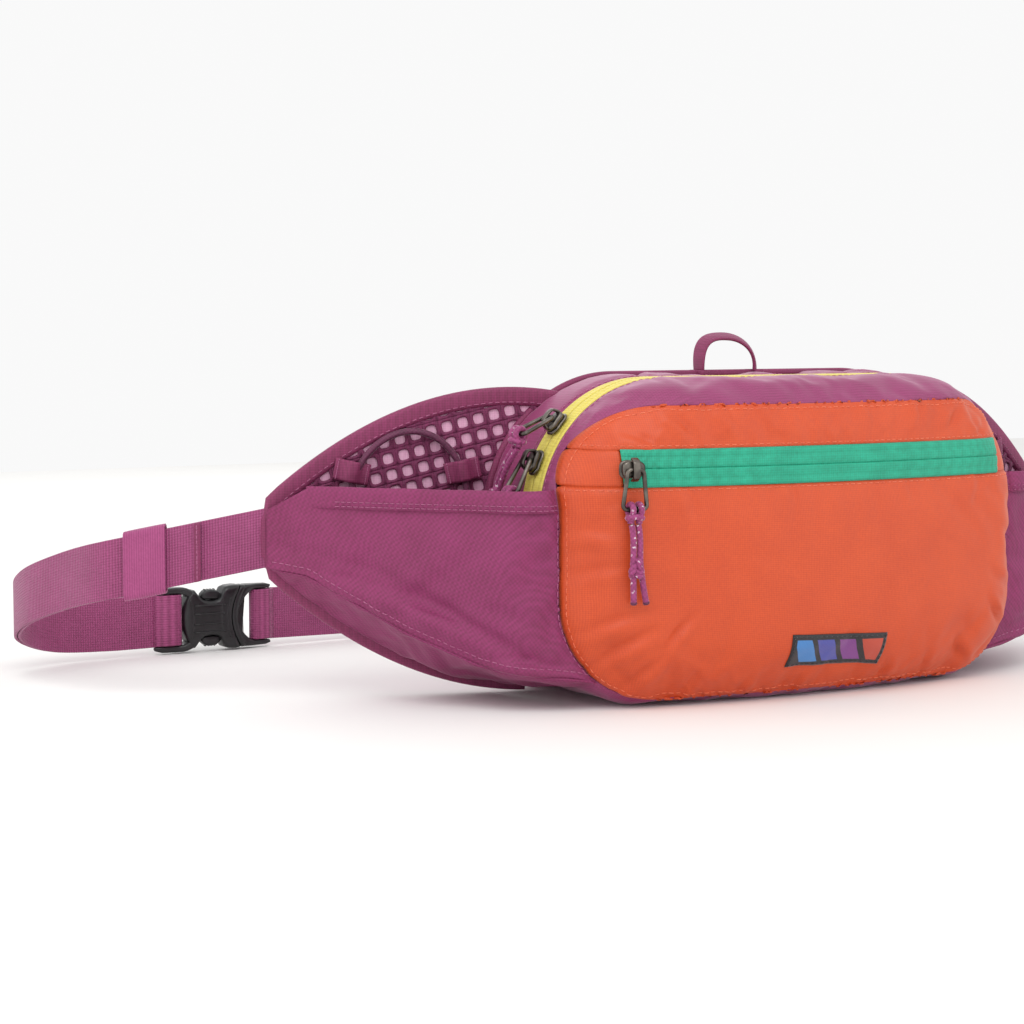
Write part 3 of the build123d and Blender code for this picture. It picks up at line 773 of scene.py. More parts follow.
# Creases run from the seams into the front panel, strongest at its lower corners.
LOWER_CREASES = [((-110, 33), (-90, 41), 1.3, 2.2), ((-104, 20), (-86, 33), 1.5, 2.0),
                 ((-79, 25), (-69, 38), 1.6, 1.5),
                 ((-92, 9), (-80, 22), 1.2, 1.9), ((-66, 4), (-62, 16), 0.9, 1.8), ((-40, 4), (-38, 12), 0.7, 1.7),
                 ((-12, 4), (-12, 11), 0.6, 1.6), ((34, 4), (32, 13), 0.8, 1.8), ((58, 4), (54, 16), 1.0, 1.9),
                 ((82, 8), (72, 20), 1.2, 2.0), ((103, 24), (90, 35), 1.6, 1.7), ((109, 40), (92, 47), 1.0, 2.2),
                 ((-113, 56), (-98, 60), 0.9, 2.0), ((-114, 74), (-100, 73), 0.8, 2.2),
                 ((113, 62), (100, 65), 0.8, 2.2),
                 ((-70, 91), (-66, 80), 0.6, 2.0), ((-22, 91), (-20, 84), 0.5, 1.8), ((40, 91), (42, 82), 0.6, 2.0),
                 ((84, 91), (80, 79), 0.8, 2.2)]
UPPER_CREASES = [((-74, 121), (-64, 109), 1.0, 1.8), ((-50, 123), (-46, 112), 0.7, 1.6),
                 ((-18, 123), (-16, 114), 0.6, 1.5),
                 ((20, 123), (22, 113), 0.6, 1.6), ((50, 123), (46, 112), 0.8, 1.7), ((74, 121), (62, 110), 1.1, 1.8),
                 ((-92, 113), (-80, 107), 0.9, 1.6), ((92, 113), (82, 108), 0.8, 1.6)]
# Long folds in the pockets, along their slanting lower edge, where the cloth hangs slack.
POCKET_CREASES = [((14, 21), (98, 53), 2.2, 3.0), ((40, 36), (112, 62), 1.3, 3.4), ((4, 33), (60, 44), 0.6, 3.4),
                  ((4, 18), (30, 22), 1.3, 2.0)]
ironed_in(panels[0], flat_spot, LOWER_CREASES)
ironed_in(panels[1], flat_spot, UPPER_CREASES)
for k in (8, 10):
    ironed_in(panels[k], wing_side, POCKET_CREASES)
ironed_in(panels[5], lambda p: (p.x, p.y), [((-58, 2), (-50, 22), 1.0, 2.2), ((-20, 4), (-16, 20), 0.9, 2.4),
                                            ((30, 3), (34, 22), 1.0, 2.4), ((66, 2), (60, 20), 1.0, 2.2)])
ironed_in(panels[4], lambda p: (p.x, p.y), [((-70, -30), (-66, -18), 0.7, 1.7), ((-34, -30), (-32, -18), 0.6, 1.6),
                                            ((6, -30), (8, -18), 0.6, 1.7), ((48, -30), (46, -18), 0.7, 1.7)])
for piece in panels:
    for v in piece.data.vertices:       # the bag stands on its bottom panel, which is flat there
        v.co.z = max(v.co.z, 0.0)
    change(piece, "SOLIDIFY", thickness=0.8 * MM, offset=-1.0)
    apply_changes(piece)

# ---------------------------------------------------------------- cords

CORD_R, SHOCK_R = 1.25, 1.4
STRAND_GAP, HITCH, TAIL_SPREAD = 2.8, 5.4, 1.3


def cord_curve(name, route, radius, material, body, nodes):
    """One cord on a smooth line with the route's points as its control points."""
    data = bpy.data.curves.new(name, "CURVE")
    data.dimensions = "3D"
    data.bevel_depth = radius * MM
    data.bevel_resolution = 4
    data.resolution_u = 24
    data.use_fill_caps = True
    spline = data.splines.new("NURBS")
    spline.points.add(len(route) - 1)
    for point, place in zip(spline.points, route):
        point.co = (*[c * MM for c in place], 1.0)
    spline.order_u = 3
    spline.use_endpoint_u = True
    piece = bpy.data.objects.new(name, data)
    scene.collection.objects.link(piece)
    finish_piece(piece, material, body, nodes)
    return piece


# Where each pull's ring ends, the way its two strands lie apart, and their route from there.
PULLS = {
    "front": ((-94.70, -51.28, 83.04), (0.978, -0.208, 0.0),
              [(0.8, -0.6, -10), (0.3, -0.9, -24), (2.4, -0.4, -38)], 0.032),
    "upper": ((-123.616, -7.5, 112.218), (0.0, -1.0, 0.0),
              [(-1.8, 7, -12), (-3.0, 14, -26), (-5.5, 20, -40)], 0.040),
    "lower": ((-127.301, -7.5, 87.857), (0.0, -1.0, 0.0),
              [(-3.5, 6, -11), (-7.5, 14, -24), (-12, 20, -36)], 0.038),
}
strands = {}
for pull, (ring_end, spread, points, length) in PULLS.items():
    ring_end, spread = Vector(ring_end), Vector(spread).normalized()
    aim = Vector(points[0])
    aim = (aim - spread * aim.dot(spread)).normalized()
    for hand, word in ((-1, "a"), (1, "b")):
        aside = spread * (hand * STRAND_GAP / 2)
        route = [ring_end + aim * (HITCH + 0.6) + aside]
        route += [ring_end + Vector(p) + aside for p in points]
        route[-1] += spread * (hand * TAIL_SPREAD)
        nodes = [f"pull_cord_{pull}"] if hand > 0 else []
        piece = cord_curve(f"pull_strand_{pull}_{word}", route, CORD_R, flecked_cord, f"{pull}_pull", nodes)
        strands[pull, word] = (piece, route, length)

# Elastic cord on each wing: up from behind the pocket hem, through both tabs and down again.
SHOCK_ROUTE = [(56, 62), (58, 79), (55, 95), (45, 108), (30.5, 113), (17, 108), (8.5, 95), (6.5, 79), (9, 62)]
CORD_STANDS = 4.2
for side, plane in wings.items():
    route = [plane.at(u, z, CORD_STANDS) for u, z in SHOCK_ROUTE]
    piece = cord_curve(f"elastic_cord_{side}", route, SHOCK_R, plum_cord, "main_body", [f"shock_cord_{side}"])

# ---------------------------------------------------------------- sewing on the settled cloth

def trees_of(pieces):
    return [BVHTree.FromObject(p, bpy.context.evaluated_depsgraph_get()) for p in pieces]


cloth_trees = trees_of(panels)


def on_cloth(p, out, trees=None, reach=14.0):
    """The cloth's surface under a point, and its direction there."""
    start = (Vector(p) + Vector(out) * reach) * MM
    best = None
    for tree in trees or cloth_trees:
        hit, normal, _, far = tree.ray_cast(start, -Vector(out), 2.4 * reach * MM)
        if hit and (best is None or far < best[0]):
            best = (far, hit / MM, normal)
    if best is None:
        return Vector(p), Vector(out)
    normal = best[2] if best[2].dot(Vector(out)) > 0 else -best[2]
    return best[1], normal


def stitches(name, line, outs, material, body="main_body", pitch=3.2, length=2.3, thick=0.42, rows=(0.0,), trees=None,
             settle_down=True):
    """Sewing thread: one rounded stitch every pitch mm along a line, lying on the cloth."""
    shape = Shape()
    spaced = along_line([Vector(p) for p in line], pitch)
    many = isinstance(outs, list)
    for k, (at, along) in enumerate(spaced):
        out = Vector(outs[min(len(outs) - 1, round(k * (len(outs) - 1) / max(1, len(spaced) - 1)))] if many else outs)
        for shift in rows:
            side = along.cross(out).normalized()
            p = at + side * shift
            if settle_down:
                p, out = on_cloth(p, out, trees)
            side = along.cross(out).normalized()
            flat = out.cross(side).normalized()
            path = [p - flat * length / 2 - out * 0.35, p - flat * length * 0.32 + out * 0.12,
                    p + flat * length * 0.32 + out * 0.12, p + flat * length / 2 - out * 0.35]
            shape.tube(path, circle(thick / 2, 6), out)
    return shape.piece(name, material, body)


def panel_seam(half_shape, upper, shift):
    """A line round the front panel, shift mm in from its seam."""
    half, low, high, low_r, high_r = half_shape
    shape = (half - shift, low + shift, high - shift, low_r - shift, high_r - shift)
    return [(x, front_y(x, z), z) for (x, z), _ in course(*shape, upper, 3.0)]


def slope_out(x, z):
    """Which way the rounded front faces at a point."""
    dx = front_y(x + 0.5, z) - front_y(x - 0.5, z)
    dz = front_y(x, z + 0.5) - front_y(x, z - 0.5)
    return Vector((dx, -1.0, dz)).normalized()


for upper, word in ((True, "upper"), (False, "lower")):
    line = panel_seam(PANEL, upper, 1.7)
    stitches(f"front_seam_stitches_{word}", line, [slope_out(x, z) for x, y, z in line], orange_thread)

# Topstitching along the zip, where the seam allowance is folded under.
for z, word in ((BAND_LOW - 1.6, "below"), (BAND_HIGH + 1.6, "above")):
    half = half_at(z, PANEL) - 3
    line = [(lerp(-half, half, k / 60), front_y(lerp(-half, half, k / 60), z), z) for k in range(61)]
    stitches(f"zip_stitches_{word}", line, [slope_out(x, z) for x, y, z in line], orange_thread)


def gusset_line(depth, upper):
    """A line round the gusset at one depth."""
    loop = course(*OUTER, upper, 3.0)
    return [(x, depth, z) for (x, z), _ in loop], [(n[0], 0, n[1]) for _, n in loop]


for depth, word in ((TAPE_FRONT - 1.5, "front"), (TAPE_BACK + 1.6, "rear")):
    line, outs = gusset_line(depth, True)
    stitches(f"main_zip_stitches_{word}", line, outs, plum_thread)

# Piped back seam: a cord in bias tape, sewn between the gusset and the back panel.
PIPE = 1.8
piping = Shape()
loop = course(*OUTER, True)[:-1] + course(*OUTER, False)[:-1]
rows = []
for (x, z), n in loop:
    centre = Vector((x, back_y(x, z) + 0.6, z)) + Vector((n[0], 0, n[1])) * 0.5
    rows.append([centre + Vector((n[0], 0, n[1])) * PIPE * cos(2 * pi * k / 10) + Vector((0, 1, 0)) * PIPE
                 * sin(2 * pi * k / 10) for k in range(10)])
rows = [[Vector((p.x, p.y, max(p.z, 0.05))) for p in row] for row in rows]
piping.grid(rows + [rows[0]], closed=True)
piping.piece("back_piping", plum_binding, "main_body", slot="plum_binding")

# ---------------------------------------------------------------- zips

def zip_tapes(name, spots, profile, material, coil_material, nodes, coil_nodes, slots):
    """Two tape edges over a hidden coil. spots give (base(across), out) along the zip every half
    millimetre, and profile gives (across, height) from one seam to the slit."""
    tape = Shape()
    for side in (-1, 1):
        rows = []
        for k, (base, out) in enumerate(spots):
            rib = 0.09 * cos(2 * pi * k / 3)
            rows.append([base(side * a) + out * (h + (rib if 0.5 < abs(a) < 3.4 else rib * 0.4)) for a, h in profile])
        if side > 0:
            rows = [list(reversed(row)) for row in rows]
        tape.grid(rows)
    piece = tape.piece(name, material, "main_body", nodes, slots[0])
    change(piece, "SOLIDIFY", thickness=0.5 * MM, offset=-1.0)
    apply_changes(piece)
    teeth = Shape()
    for k in range(0, len(spots) - 2, 3):
        base, out = spots[k]
        after, _ = spots[k + 2]
        for side in (-1, 1):
            path = [base(side * 1.6) - out * 0.5, base(side * 0.9) - out * 0.28, base(side * 0.05) - out * 0.4]
            nudge = (after(0) - base(0)) * (0.3 if side > 0 else 0.9)
            teeth.tube([p + nudge for p in path], circle(0.36, 6), out)
    teeth.piece(name.replace("tape", "coil_turns"), coil_material, "main_body", coil_nodes, slots[1])


PROFILE = [(TAPE / 2, -0.1), (7.0, 0.35), (6.2, 0.42), (4.9, 0.38), (4.5, 0.22), (4.1, 0.38), (3.3, 0.5), (2.2, 0.62),
           (1.2, 0.66), (0.62, 0.55), (0.34, 0.25), (0.3, -0.35)]


def front_spot(x):
    def base(across):
        z = ZIP_Z + across
        return Vector((x, front_y(x, z), z))
    return base, slope_out(x, ZIP_Z)


count = round(2 * ZIP_HALF / 0.55)
zip_tapes("front_zip_tape_ribbed", [front_spot(lerp(-ZIP_HALF, ZIP_HALF, k / count)) for k in range(count + 1)],
          PROFILE, green_zip, green_coil, ["front_zip_tape"], ["front_zip_coil"], ("green_zip", "green_coil"))


def main_spot(point, out):
    def base(across):
        return Vector((point[0], MAIN_Y - across, point[1]))
    return base, Vector((out[0], 0, out[1]))


zip_tapes("main_zip_tape_ribbed", [main_spot(p, n) for p, n in course(*OUTER, True, 0.55)], PROFILE, yellow_zip,
          yellow_coil, ["main_zip_tape"], ["main_zip_coil"], ("yellow_zip", "yellow_coil"))

# ---------------------------------------------------------------- woven label, in a made-up stripe pattern

LABEL_W, LABEL_H, LABEL_X, LABEL_Z, LABEL_TURN = 49.0, 14.3, 2.5, 20.5, radians(2.5)


def label_spot(u, v, lift):
    x = LABEL_X + u * cos(LABEL_TURN) + v * sin(LABEL_TURN)
    z = LABEL_Z - u * sin(LABEL_TURN) + v * cos(LABEL_TURN)
    at, out = on_cloth((x, front_y(x, z), z), slope_out(x, z))
    return at + out * lift


label_shape = Shape()
rows = []
for j in range(15):
    v = lerp(-LABEL_H / 2, LABEL_H / 2, j / 14)
    edge = min(j, 14 - j)
    rows.append([label_spot(lerp(-LABEL_W / 2, LABEL_W / 2, k / 48), v,
                            0.35 + 0.4 * min(1.0, min(edge, min(k, 48 - k)) / 1.0)) for k in range(49)])
label_shape.grid(rows)

black_label, label_tree = blank("black_label")
label_place = add(label_tree, "ShaderNodeTexCoord")
label_uv = add(label_tree, "ShaderNodeSeparateXYZ", [("Vector", label_place, "UV")])
# Damask-woven polyester, satin: a black border round leaning bars of blue, violet and red.
bar_lean = add(label_tree, "ShaderNodeMath", [(0, label_uv, "Y"), (2, label_uv, "X")], operation="MULTIPLY_ADD")
bar_lean.inputs[1].default_value = 0.18
stripes = add(label_tree, "ShaderNodeValToRGB", [("Fac", bar_lean, 0)])
stripes.color_ramp.interpolation = "CONSTANT"
STRIPES = [(0.0, "#17161A"), (0.16, "#3E7FC0"), (0.34, "#17161A"), (0.40, "#4A4FA0"), (0.58, "#17161A"),
           (0.64, "#7C3B86"), (0.82, "#17161A"), (0.88, "#B9442F")]
while len(stripes.color_ramp.elements) < len(STRIPES):
    stripes.color_ramp.elements.new(0.5)
for element, (spot, colour) in zip(stripes.color_ramp.elements, STRIPES):
    element.position = spot
    element.color = linear(colour)
outside = []
for axis, reach in (("X", 0.455), ("Y", 0.34)):      # share of the width and height inside the border
    off = add(label_tree, "ShaderNodeMath", [(0, label_uv, axis)], operation="SUBTRACT")
    off.inputs[1].default_value = 0.5
    off = add(label_tree, "ShaderNodeMath", [(0, off, 0)], operation="ABSOLUTE")
    off = add(label_tree, "ShaderNodeMath", [(0, off, 0)], operation="GREATER_THAN")
    off.inputs[1].default_value = reach
    outside.append(off)
border = add(label_tree, "ShaderNodeMath", [(0, outside[0], 0), (1, outside[1], 0)], operation="MAXIMUM")
label_paint = add(label_tree, "ShaderNodeMixRGB", [("Fac", border, 0), ("Color1", stripes, "Color")],
                  Color2=linear("#17161A"))
satin = add(label_tree, "ShaderNodeTexWave", [("Vector", label_place, "Object")], bands_direction="X",
            Scale=BAND / (0.7 * MM), Distortion=0.3)
satin_bump = add(label_tree, "ShaderNodeBump", [("Height", satin, "Fac")], Strength=0.5, Distance=0.1 * MM)
label_shader = add(label_tree, "ShaderNodeBsdfPrincipled",
                   [("Base Color", label_paint, 0), ("Normal", satin_bump, 0)], Roughness=0.48, Sheen_Weight=0.2)
add(label_tree, "ShaderNodeOutputMaterial", [("Surface", label_shader, 0)])


def lay_uv(piece, wide, high, us=None, vs=None):
    """UVs for one grid of points: each column and row's place, as a share or in metres."""
    layer = piece.data.uv_layers.new(name="weave")
    for loop in piece.data.loops:
        row, column = divmod(loop.vertex_index % (wide * high), wide)
        layer.data[loop.index].uv = (us[column] if us else column / (wide - 1), vs[row] if vs else row / (high - 1))


label = label_shape.piece("striped_label", black_label, "main_body", ["label_patch"], "black_label")
lay_uv(label, 49, 15)
change(label, "SOLIDIFY", thickness=0.6 * MM, offset=-1.0)
apply_changes(label)
frame_line = [(across * (LABEL_W / 2 - 1), up * (LABEL_H / 2 - 1))
              for across, up in ((-1, -1), (1, -1), (1, 1), (-1, 1), (-1, -1))]
label_thread = cloth("label_thread", "#3A3940", "#26252A", thread=0.8, raised=0.05)
label_tree_found = trees_of([label])
for k in range(4):
    (u0, v0), (u1, v1) = frame_line[k], frame_line[k + 1]
    line = [label_spot(lerp(u0, u1, i / 8), lerp(v0, v1, i / 8), 0.7) for i in range(9)]
    stitches(f"label_stitches_{k}", line, slope_out(LABEL_X, LABEL_Z), label_thread, pitch=2.6, length=1.7,
             thick=0.34, trees=label_tree_found)

# ---------------------------------------------------------------- mesh wings

HOLE_PITCH, HOLE = 6.9, 2.25       # open net: square holes with round corners
BINDING_W, BINDING_T = 8.0, 5.0
BINDING_TAIL = 18                  # how far the lower binding runs on under the body
HEM_END = 112.5
CORD_TABS = ((56, 95, 12), (9, 95, -12))     # place on the wing, and turn in degrees


def net(side):
    """Warp-knitted net: a ring of yarn round every hole, joined to its neighbours."""
    plane, shape = wings[side], Shape()
    half, lean = HOLE_PITCH / 2, radians(-14)
    for j in range(-4, 26):
        for k in range(-9, 22):
            u = (k * cos(lean) - j * sin(lean)) * HOLE_PITCH + 2.0
            z = (k * sin(lean) + j * cos(lean)) * HOLE_PITCH + 3.0
            if u < -ROOT_REACH or u > WING_RUN - 4.5 or z > wing_top(u) - 5.5 or z < wing_bottom(max(u, 0)) + 5.5:
                continue
            rows = []
            for size, power, lift in ((HOLE - 0.1, 4, 0.0), (HOLE + 0.2, 4, 0.45), (half, 60, 0.6), (half, 60, -0.3),
                                      (HOLE + 0.15, 4, -0.3), (HOLE - 0.1, 4, 0.0)):
                ring = []
                for i in range(16):
                    a = 2 * pi * i / 16
                    r = size / (abs(cos(a)) ** power + abs(sin(a)) ** power) ** (1 / power)
                    du, dz = r * cos(a), r * sin(a)
                    ring.append(plane.at(u + du * cos(lean) - dz * sin(lean), z + du * sin(lean) + dz * cos(lean),
                                         1.2 + lift))
                rows.append(ring)
            shape.grid(rows, closed=True)
    return shape


def lining(side):
    """Fine lining close behind the net."""
    plane, shape = wings[side], Shape()
    for face, w in ((1, 0.55), (-1, -1.4)):
        rows = []
        for j in range(25):
            row = []
            for k in range(33):
                u = lerp(-ROOT_REACH, WING_RUN - 2, k / 32)
                z = lerp(wing_bottom(max(u, 0)) + 2, wing_top(u) - 2, j / 24)
                row.append(plane.at(u, z, w + 0.12 * sin(u * 0.31 + j * 0.5)))
            rows.append(row if face * plane.hand > 0 else list(reversed(row)))
        shape.grid(rows)
    return shape


def wing_edge(inset_by):
    """Top edge, tip and lower edge of a wing, from root to root, moved in."""
    line = [(u, wing_top(u) - inset_by) for u in (lerp(-ROOT_REACH, WING_RUN - 6, k / 34) for k in range(35))]
    r = 5.0
    u1, z1, z0 = WING_RUN - inset_by, wing_top(WING_RUN) - inset_by, wing_bottom(WING_RUN) + inset_by
    line += [(u1 - 1.2, z1 - 0.6), (u1 - 0.2, z1 - 2.6), (u1, (z0 + z1) / 2), (u1 - 0.2, z0 + r * 0.5),
             (u1 - 1.4, z0 + 0.4)]
    return line + [(u, wing_bottom(u) + inset_by)
                   for u in (lerp(WING_RUN - 7, -BINDING_TAIL, k / 28) for k in range(29))]


for side, plane in wings.items():
    net(side).piece(f"wing_net_{side}", plum_mesh, "main_body", [f"wing_mesh_{side}"], "plum_mesh")
    lining(side).piece(f"wing_lining_{side}", pink_lining, "main_body", slot="plum_mesh")
    edge = wing_edge(BINDING_W / 2)
    binding = Shape().tube([plane.at(u, z) for u, z in edge], rounded(BINDING_W, BINDING_T, 1.9, 4), plane.out)
    binding.piece(f"wing_binding_tape_{side}", plum_binding, "main_body", [f"wing_binding_{side}"], "plum_binding")
    sewn = [plane.at(u, z, BINDING_T / 2 - 0.05) for u, z in wing_edge(BINDING_W - 1.6)]
    stitches(f"wing_stitches_{side}", sewn, plane.out, plum_thread, pitch=3.0, length=2.1, settle_down=False)

    # Pocket hem: turned over twice and sewn with two needles.
    pocket = pockets[side]
    hem = Shape()
    section = [(4.6, 0.3), (4.7, 1.3), (4.3, 1.95), (2.0, 2.05), (0.0, 1.95), (-2.2, 2.05), (-4.2, 1.9), (-4.5, 1.1),
               (-4.4, 0.2), (0.0, 0.1)]
    rows = []
    for k in range(57):
        u = lerp(0.2, HEM_END, k / 56)
        sway = 0.35 * sin(u * 0.11) + 0.2 * sin(u * 0.37 + 1.0)
        thin = min(1.0, 0.25 + (HEM_END - u) / 14)
        rows.append([pocket_spot(side, u, HEM_Z - 4.7 + z + 0.1 * sin(u * 0.21), (w + sway * 0.6) * thin + 0.7)
                     for z, w in section])
    hem.capped(rows)
    hem.piece(f"pocket_hem_cloth_{side}", plum_twill, "main_body", [f"pocket_hem_{side}"], "plum_twill")
    for needle, z in (("upper", HEM_Z - 6.2), ("lower", HEM_Z - 8.0)):
        line = [pocket_spot(side, u, z, 2.95 + 0.21 * sin(u * 0.11))
                for u in (lerp(1, 98, k / 40) for k in range(41))]
        stitches(f"hem_stitches_{needle}_{side}", line, pocket.out, plum_thread, pitch=2.7, length=1.9,
                 thick=0.36, settle_down=False)

    # Topstitching where the pocket is sewn to the gusset and along its lower edge.
    pocket_trees = trees_of([bpy.data.objects[f"pocket_cloth_{side}"]])
    root_line = [pocket_spot(side, 3.0, z, 1) for z in (lerp(16, 79, k / 20) for k in range(21))]
    stitches(f"pocket_root_stitches_{side}", root_line, pocket.out, plum_thread, trees=pocket_trees)
    low_line = [pocket_spot(side, u, pocket_bottom(u) + 3.2, 1)
                for u in (lerp(3, POCKET_RUN - 4, k / 60) for k in range(61))]
    stitches(f"pocket_low_stitches_{side}", low_line, pocket.out, plum_thread, trees=pocket_trees)

    # Cord tabs: folded strips sewn down each side of the elastic cord.
    tabs = Shape()
    for u, z, turn in CORD_TABS:
        a = radians(turn)
        rows = []
        for k in range(25):
            s = lerp(-7.5, 7.5, k / 24)
            rise = 3.0 + 3.2 / (1 + (abs(s) / 2.9) ** 4)
            rows.append([plane.at(u + s * cos(a) - t * sin(a), z + s * sin(a) + t * cos(a),
                                  rise + 0.25 * (1 - (t / 4.5)**2))
                         for t in (lerp(-4.5, 4.5, i / 8) for i in range(9))])
        tabs.grid(rows if plane.hand > 0 else [list(reversed(r)) for r in rows])
    tab_piece = tabs.piece(f"cord_tab_strips_{side}", plum_binding, "main_body", [f"cord_tabs_{side}"],
                           "plum_binding")
    change(tab_piece, "SOLIDIFY", thickness=0.9 * MM, offset=0.0)
    apply_changes(tab_piece)
    for number, (u, z, turn) in enumerate(CORD_TABS):
        a = radians(turn)
        for end in (-6.2, 6.2):
            line = [plane.at(u + end * cos(a) - t * sin(a), z + end * sin(a) + t * cos(a), 3.75)
                    for t in (-3.8, 0, 3.8)]
            stitches(f"tab_bartack_{side}_{number}_{'in' if end > 0 else 'out'}", line, plane.out, plum_thread,
                     pitch=0.95, length=0.75, thick=0.5, settle_down=False)

# ---------------------------------------------------------------- belt

WEBBING, WEBBING_T, LAYER = 25.0, 1.4, 1.75
BUCKLE_AT = Vector((-200.0, 204.7, 15.8))
buckle_x = Vector((0.998, 0.057, 0.0)).normalized()
buckle_z = buckle_x.cross(Vector((0, 0, 1)))
belt_tip = Vector((*WING_TIP, 67.0))
first_run = Vector((-0.86, 0.471, -0.2)).normalized()


def buckle_spot(u, v, w=0.0):
    """A point on the buckle: u along the belt, v up and w out of it."""
    return BUCKLE_AT + buckle_x * u + Vector((0, 0, 1)) * v + buckle_z * w


def webbing_uv(piece, section, step=2.0):
    """UVs in metres, along and across, for the weave of a piece swept from a section."""
    layer = piece.data.uv_layers.new(name="weave")
    for loop in piece.data.loops:
        row, column = divmod(loop.vertex_index, len(section))
        layer.data[loop.index].uv = (row * step * MM, section[column][1] * MM)


def ribbon(name, line, layer, material, body, nodes, wide=WEBBING, thick=WEBBING_T, wave=0.0, ride=True):
    """Webbing on edge along a line. Its UVs run in metres, along and across, for the weave."""
    spots = along_line(line, 2.0)
    section = rounded(thick, wide, thick * 0.45, 3)
    rows = []
    for k, (at, along) in enumerate(spots):
        before, after = spots[max(k - 3, 0)][1], spots[min(k + 3, len(spots) - 1)][1]
        flat = (before + along + after)
        flat = Vector((flat.x, flat.y, 0)).normalized()
        out = Vector((-flat.y, flat.x, 0))
        at = at + out * layer
        rows.append([at + out * (s + wave * sin(k * 0.21 + u * 0.05)) + Vector((0, 0, 1)) * u for s, u in section])
    piece = Shape().capped(rows).piece(name, material, body, nodes, "plum_webbing", ride=ride)
    webbing_uv(piece, section)
    return piece


straight_end = belt_tip + first_run * 64
left_route = [straight_end - first_run * 25, straight_end, (-273, 122, 47), (-280, 152, 37.5), (-275, 180, 27),
              (-256, 196, 18.5), (-228, 202, 16), buckle_spot(-0.2, 0), buckle_spot(6, 0)]
left_bend = smooth_line(left_route, 1.0)
left_bend = left_bend[25:-6]
left_line = [belt_tip + first_run * (k - 6) for k in range(70)] + left_bend
strap_left = ribbon("strap_left_webbing", left_line, 0, plum_webbing, "belt_left",
                    ["strap_left", "strap_anchor_left"], ride=False)
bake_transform(strap_left)
tail_line = [belt_tip + first_run * (25 + k) for k in range(39)] + left_bend
strap_tail = ribbon("strap_tail_webbing", tail_line, LAYER, plum_webbing, "belt_left", ["strap_tail"], ride=False)
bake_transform(strap_tail)

right_tip = Vector((-belt_tip.x, belt_tip.y, belt_tip.z))
right_leave = Vector((-first_run.x, first_run.y, first_run.z))
right_route = [right_tip - right_leave * 6, right_tip + right_leave * 2, (229, 92, 58), (226, 122, 46),
               (203, 154, 33), (164, 181, 24), (108, 203, 18), (40, 215, 14.5),
               (-30, 217, 14), (-98, 212, 15), buckle_spot(57.2, 0)]
right_line = smooth_line(right_route, 1.0)
ribbon("strap_right_webbing", right_line, 0, plum_webbing, "main_body", ["strap_right", "strap_anchor_right"])

flat_run = Vector((first_run.x, first_run.y, 0)).normalized()
belt_out = Vector((-flat_run.y, flat_run.x, 0))


def run_spot(along, up, out):
    """A point on the straight left run: along it from the wing tip, up, and out."""
    return belt_tip + first_run * along + Vector((0, 0, 1)) * up + belt_out * out


# Turned and sewn end of the webbing tail. The keeper stops short of it.
turned_end = Shape()
turned_rows = [[run_spot(a, up, LAYER + WEBBING_T + out) for out, up in rounded(thick, wide, thick * 0.4)]
               for a, thick, wide in ((25.2, 0.5, 24.0), (25.5, 1.2, 24.6), (26.2, 1.3, 24.8), (27.0, 1.3, 24.8),
                                      (27.6, 1.2, 24.6), (27.9, 0.5, 24.0))]
turned_end.capped([list(reversed(r)) for r in turned_rows])
turned_piece = turned_end.piece("strap_tail_fold", plum_binding, "belt_left", slot="plum_webbing", ride=False)
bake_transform(turned_piece)
tail_stitch_line = [run_spot(26.6, up, LAYER + WEBBING_T * 1.5 + 0.1) for up in (-10.5, 0, 10.5)]
stitches("strap_tail_stitches_0", tail_stitch_line, belt_out, plum_thread, "belt_left", pitch=2.1, length=1.6,
         thick=0.55, settle_down=False)

# Keeper: a knitted elastic loop round both layers.
KEEPER_AT = 49.0
keeper_rows = []
for k in range(37):
    along = KEEPER_AT - 8.8 + 17.6 * k / 36
    pinch = 0.5 * (1 - abs(2 * k / 36 - 1) ** 4) + 0.07 * (k % 2)
    ring = rounded(5.3 + pinch, 27.4 + pinch * 0.5, 2.0, 4)
    keeper_rows.append([run_spot(along, up, LAYER / 2 + out) for out, up in ring])
keeper_shape = Shape().grid([list(reversed(r)) for r in keeper_rows], closed=True)
keeper = keeper_shape.piece("strap_keeper_elastic", plum_elastic, "keeper", ["strap_keeper"], "plum_elastic")
lay_keeper = keeper.data.uv_layers.new(name="weave")
ring_count = len(keeper_rows[0])
for loop in keeper.data.loops:
    row, column = divmod(loop.vertex_index, ring_count)
    lay_keeper.data[loop.index].uv = (row * 0.49 * MM, column * 2.4 * MM)
change(keeper, "SOLIDIFY", thickness=0.9 * MM, offset=-1.0)
apply_changes(keeper)

# ---------------------------------------------------------------- haul loop

LOOP_Y, LOOP_HALF, LOOP_RISE, LOOP_BASE = 24.0, 14.8, 15.8, 135.7
arch = []
for k in range(41):
    a = pi * k / 40
    reach = abs(cos(a)) ** 0.8 * (1 if cos(a) >= 0 else -1)
    arch.append(Vector((-LOOP_HALF * reach - 3.0 * sin(a) ** 2, LOOP_Y + 0.8 * sin(2 * a),
                        LOOP_BASE - 0.6 + LOOP_RISE * sin(a) ** 0.85)))
loop_ups = []
for k in range(41):
    twist = radians(lerp(-6, 40, k / 40))
    outward = Vector((arch[k].x, 0, arch[k].z - LOOP_BASE + 1)).normalized()
    loop_ups.append(Vector((0, 1, 0)) * cos(twist) + outward * sin(twist))
ribbon_section = rounded(1.4, 8.6, 0.65, 3)
haul = Shape().tube(arch, ribbon_section, loop_ups)
haul.piece("haul_loop_ribbon", plum_binding, "haul_loop", ["haul_loop"], "plum_binding")
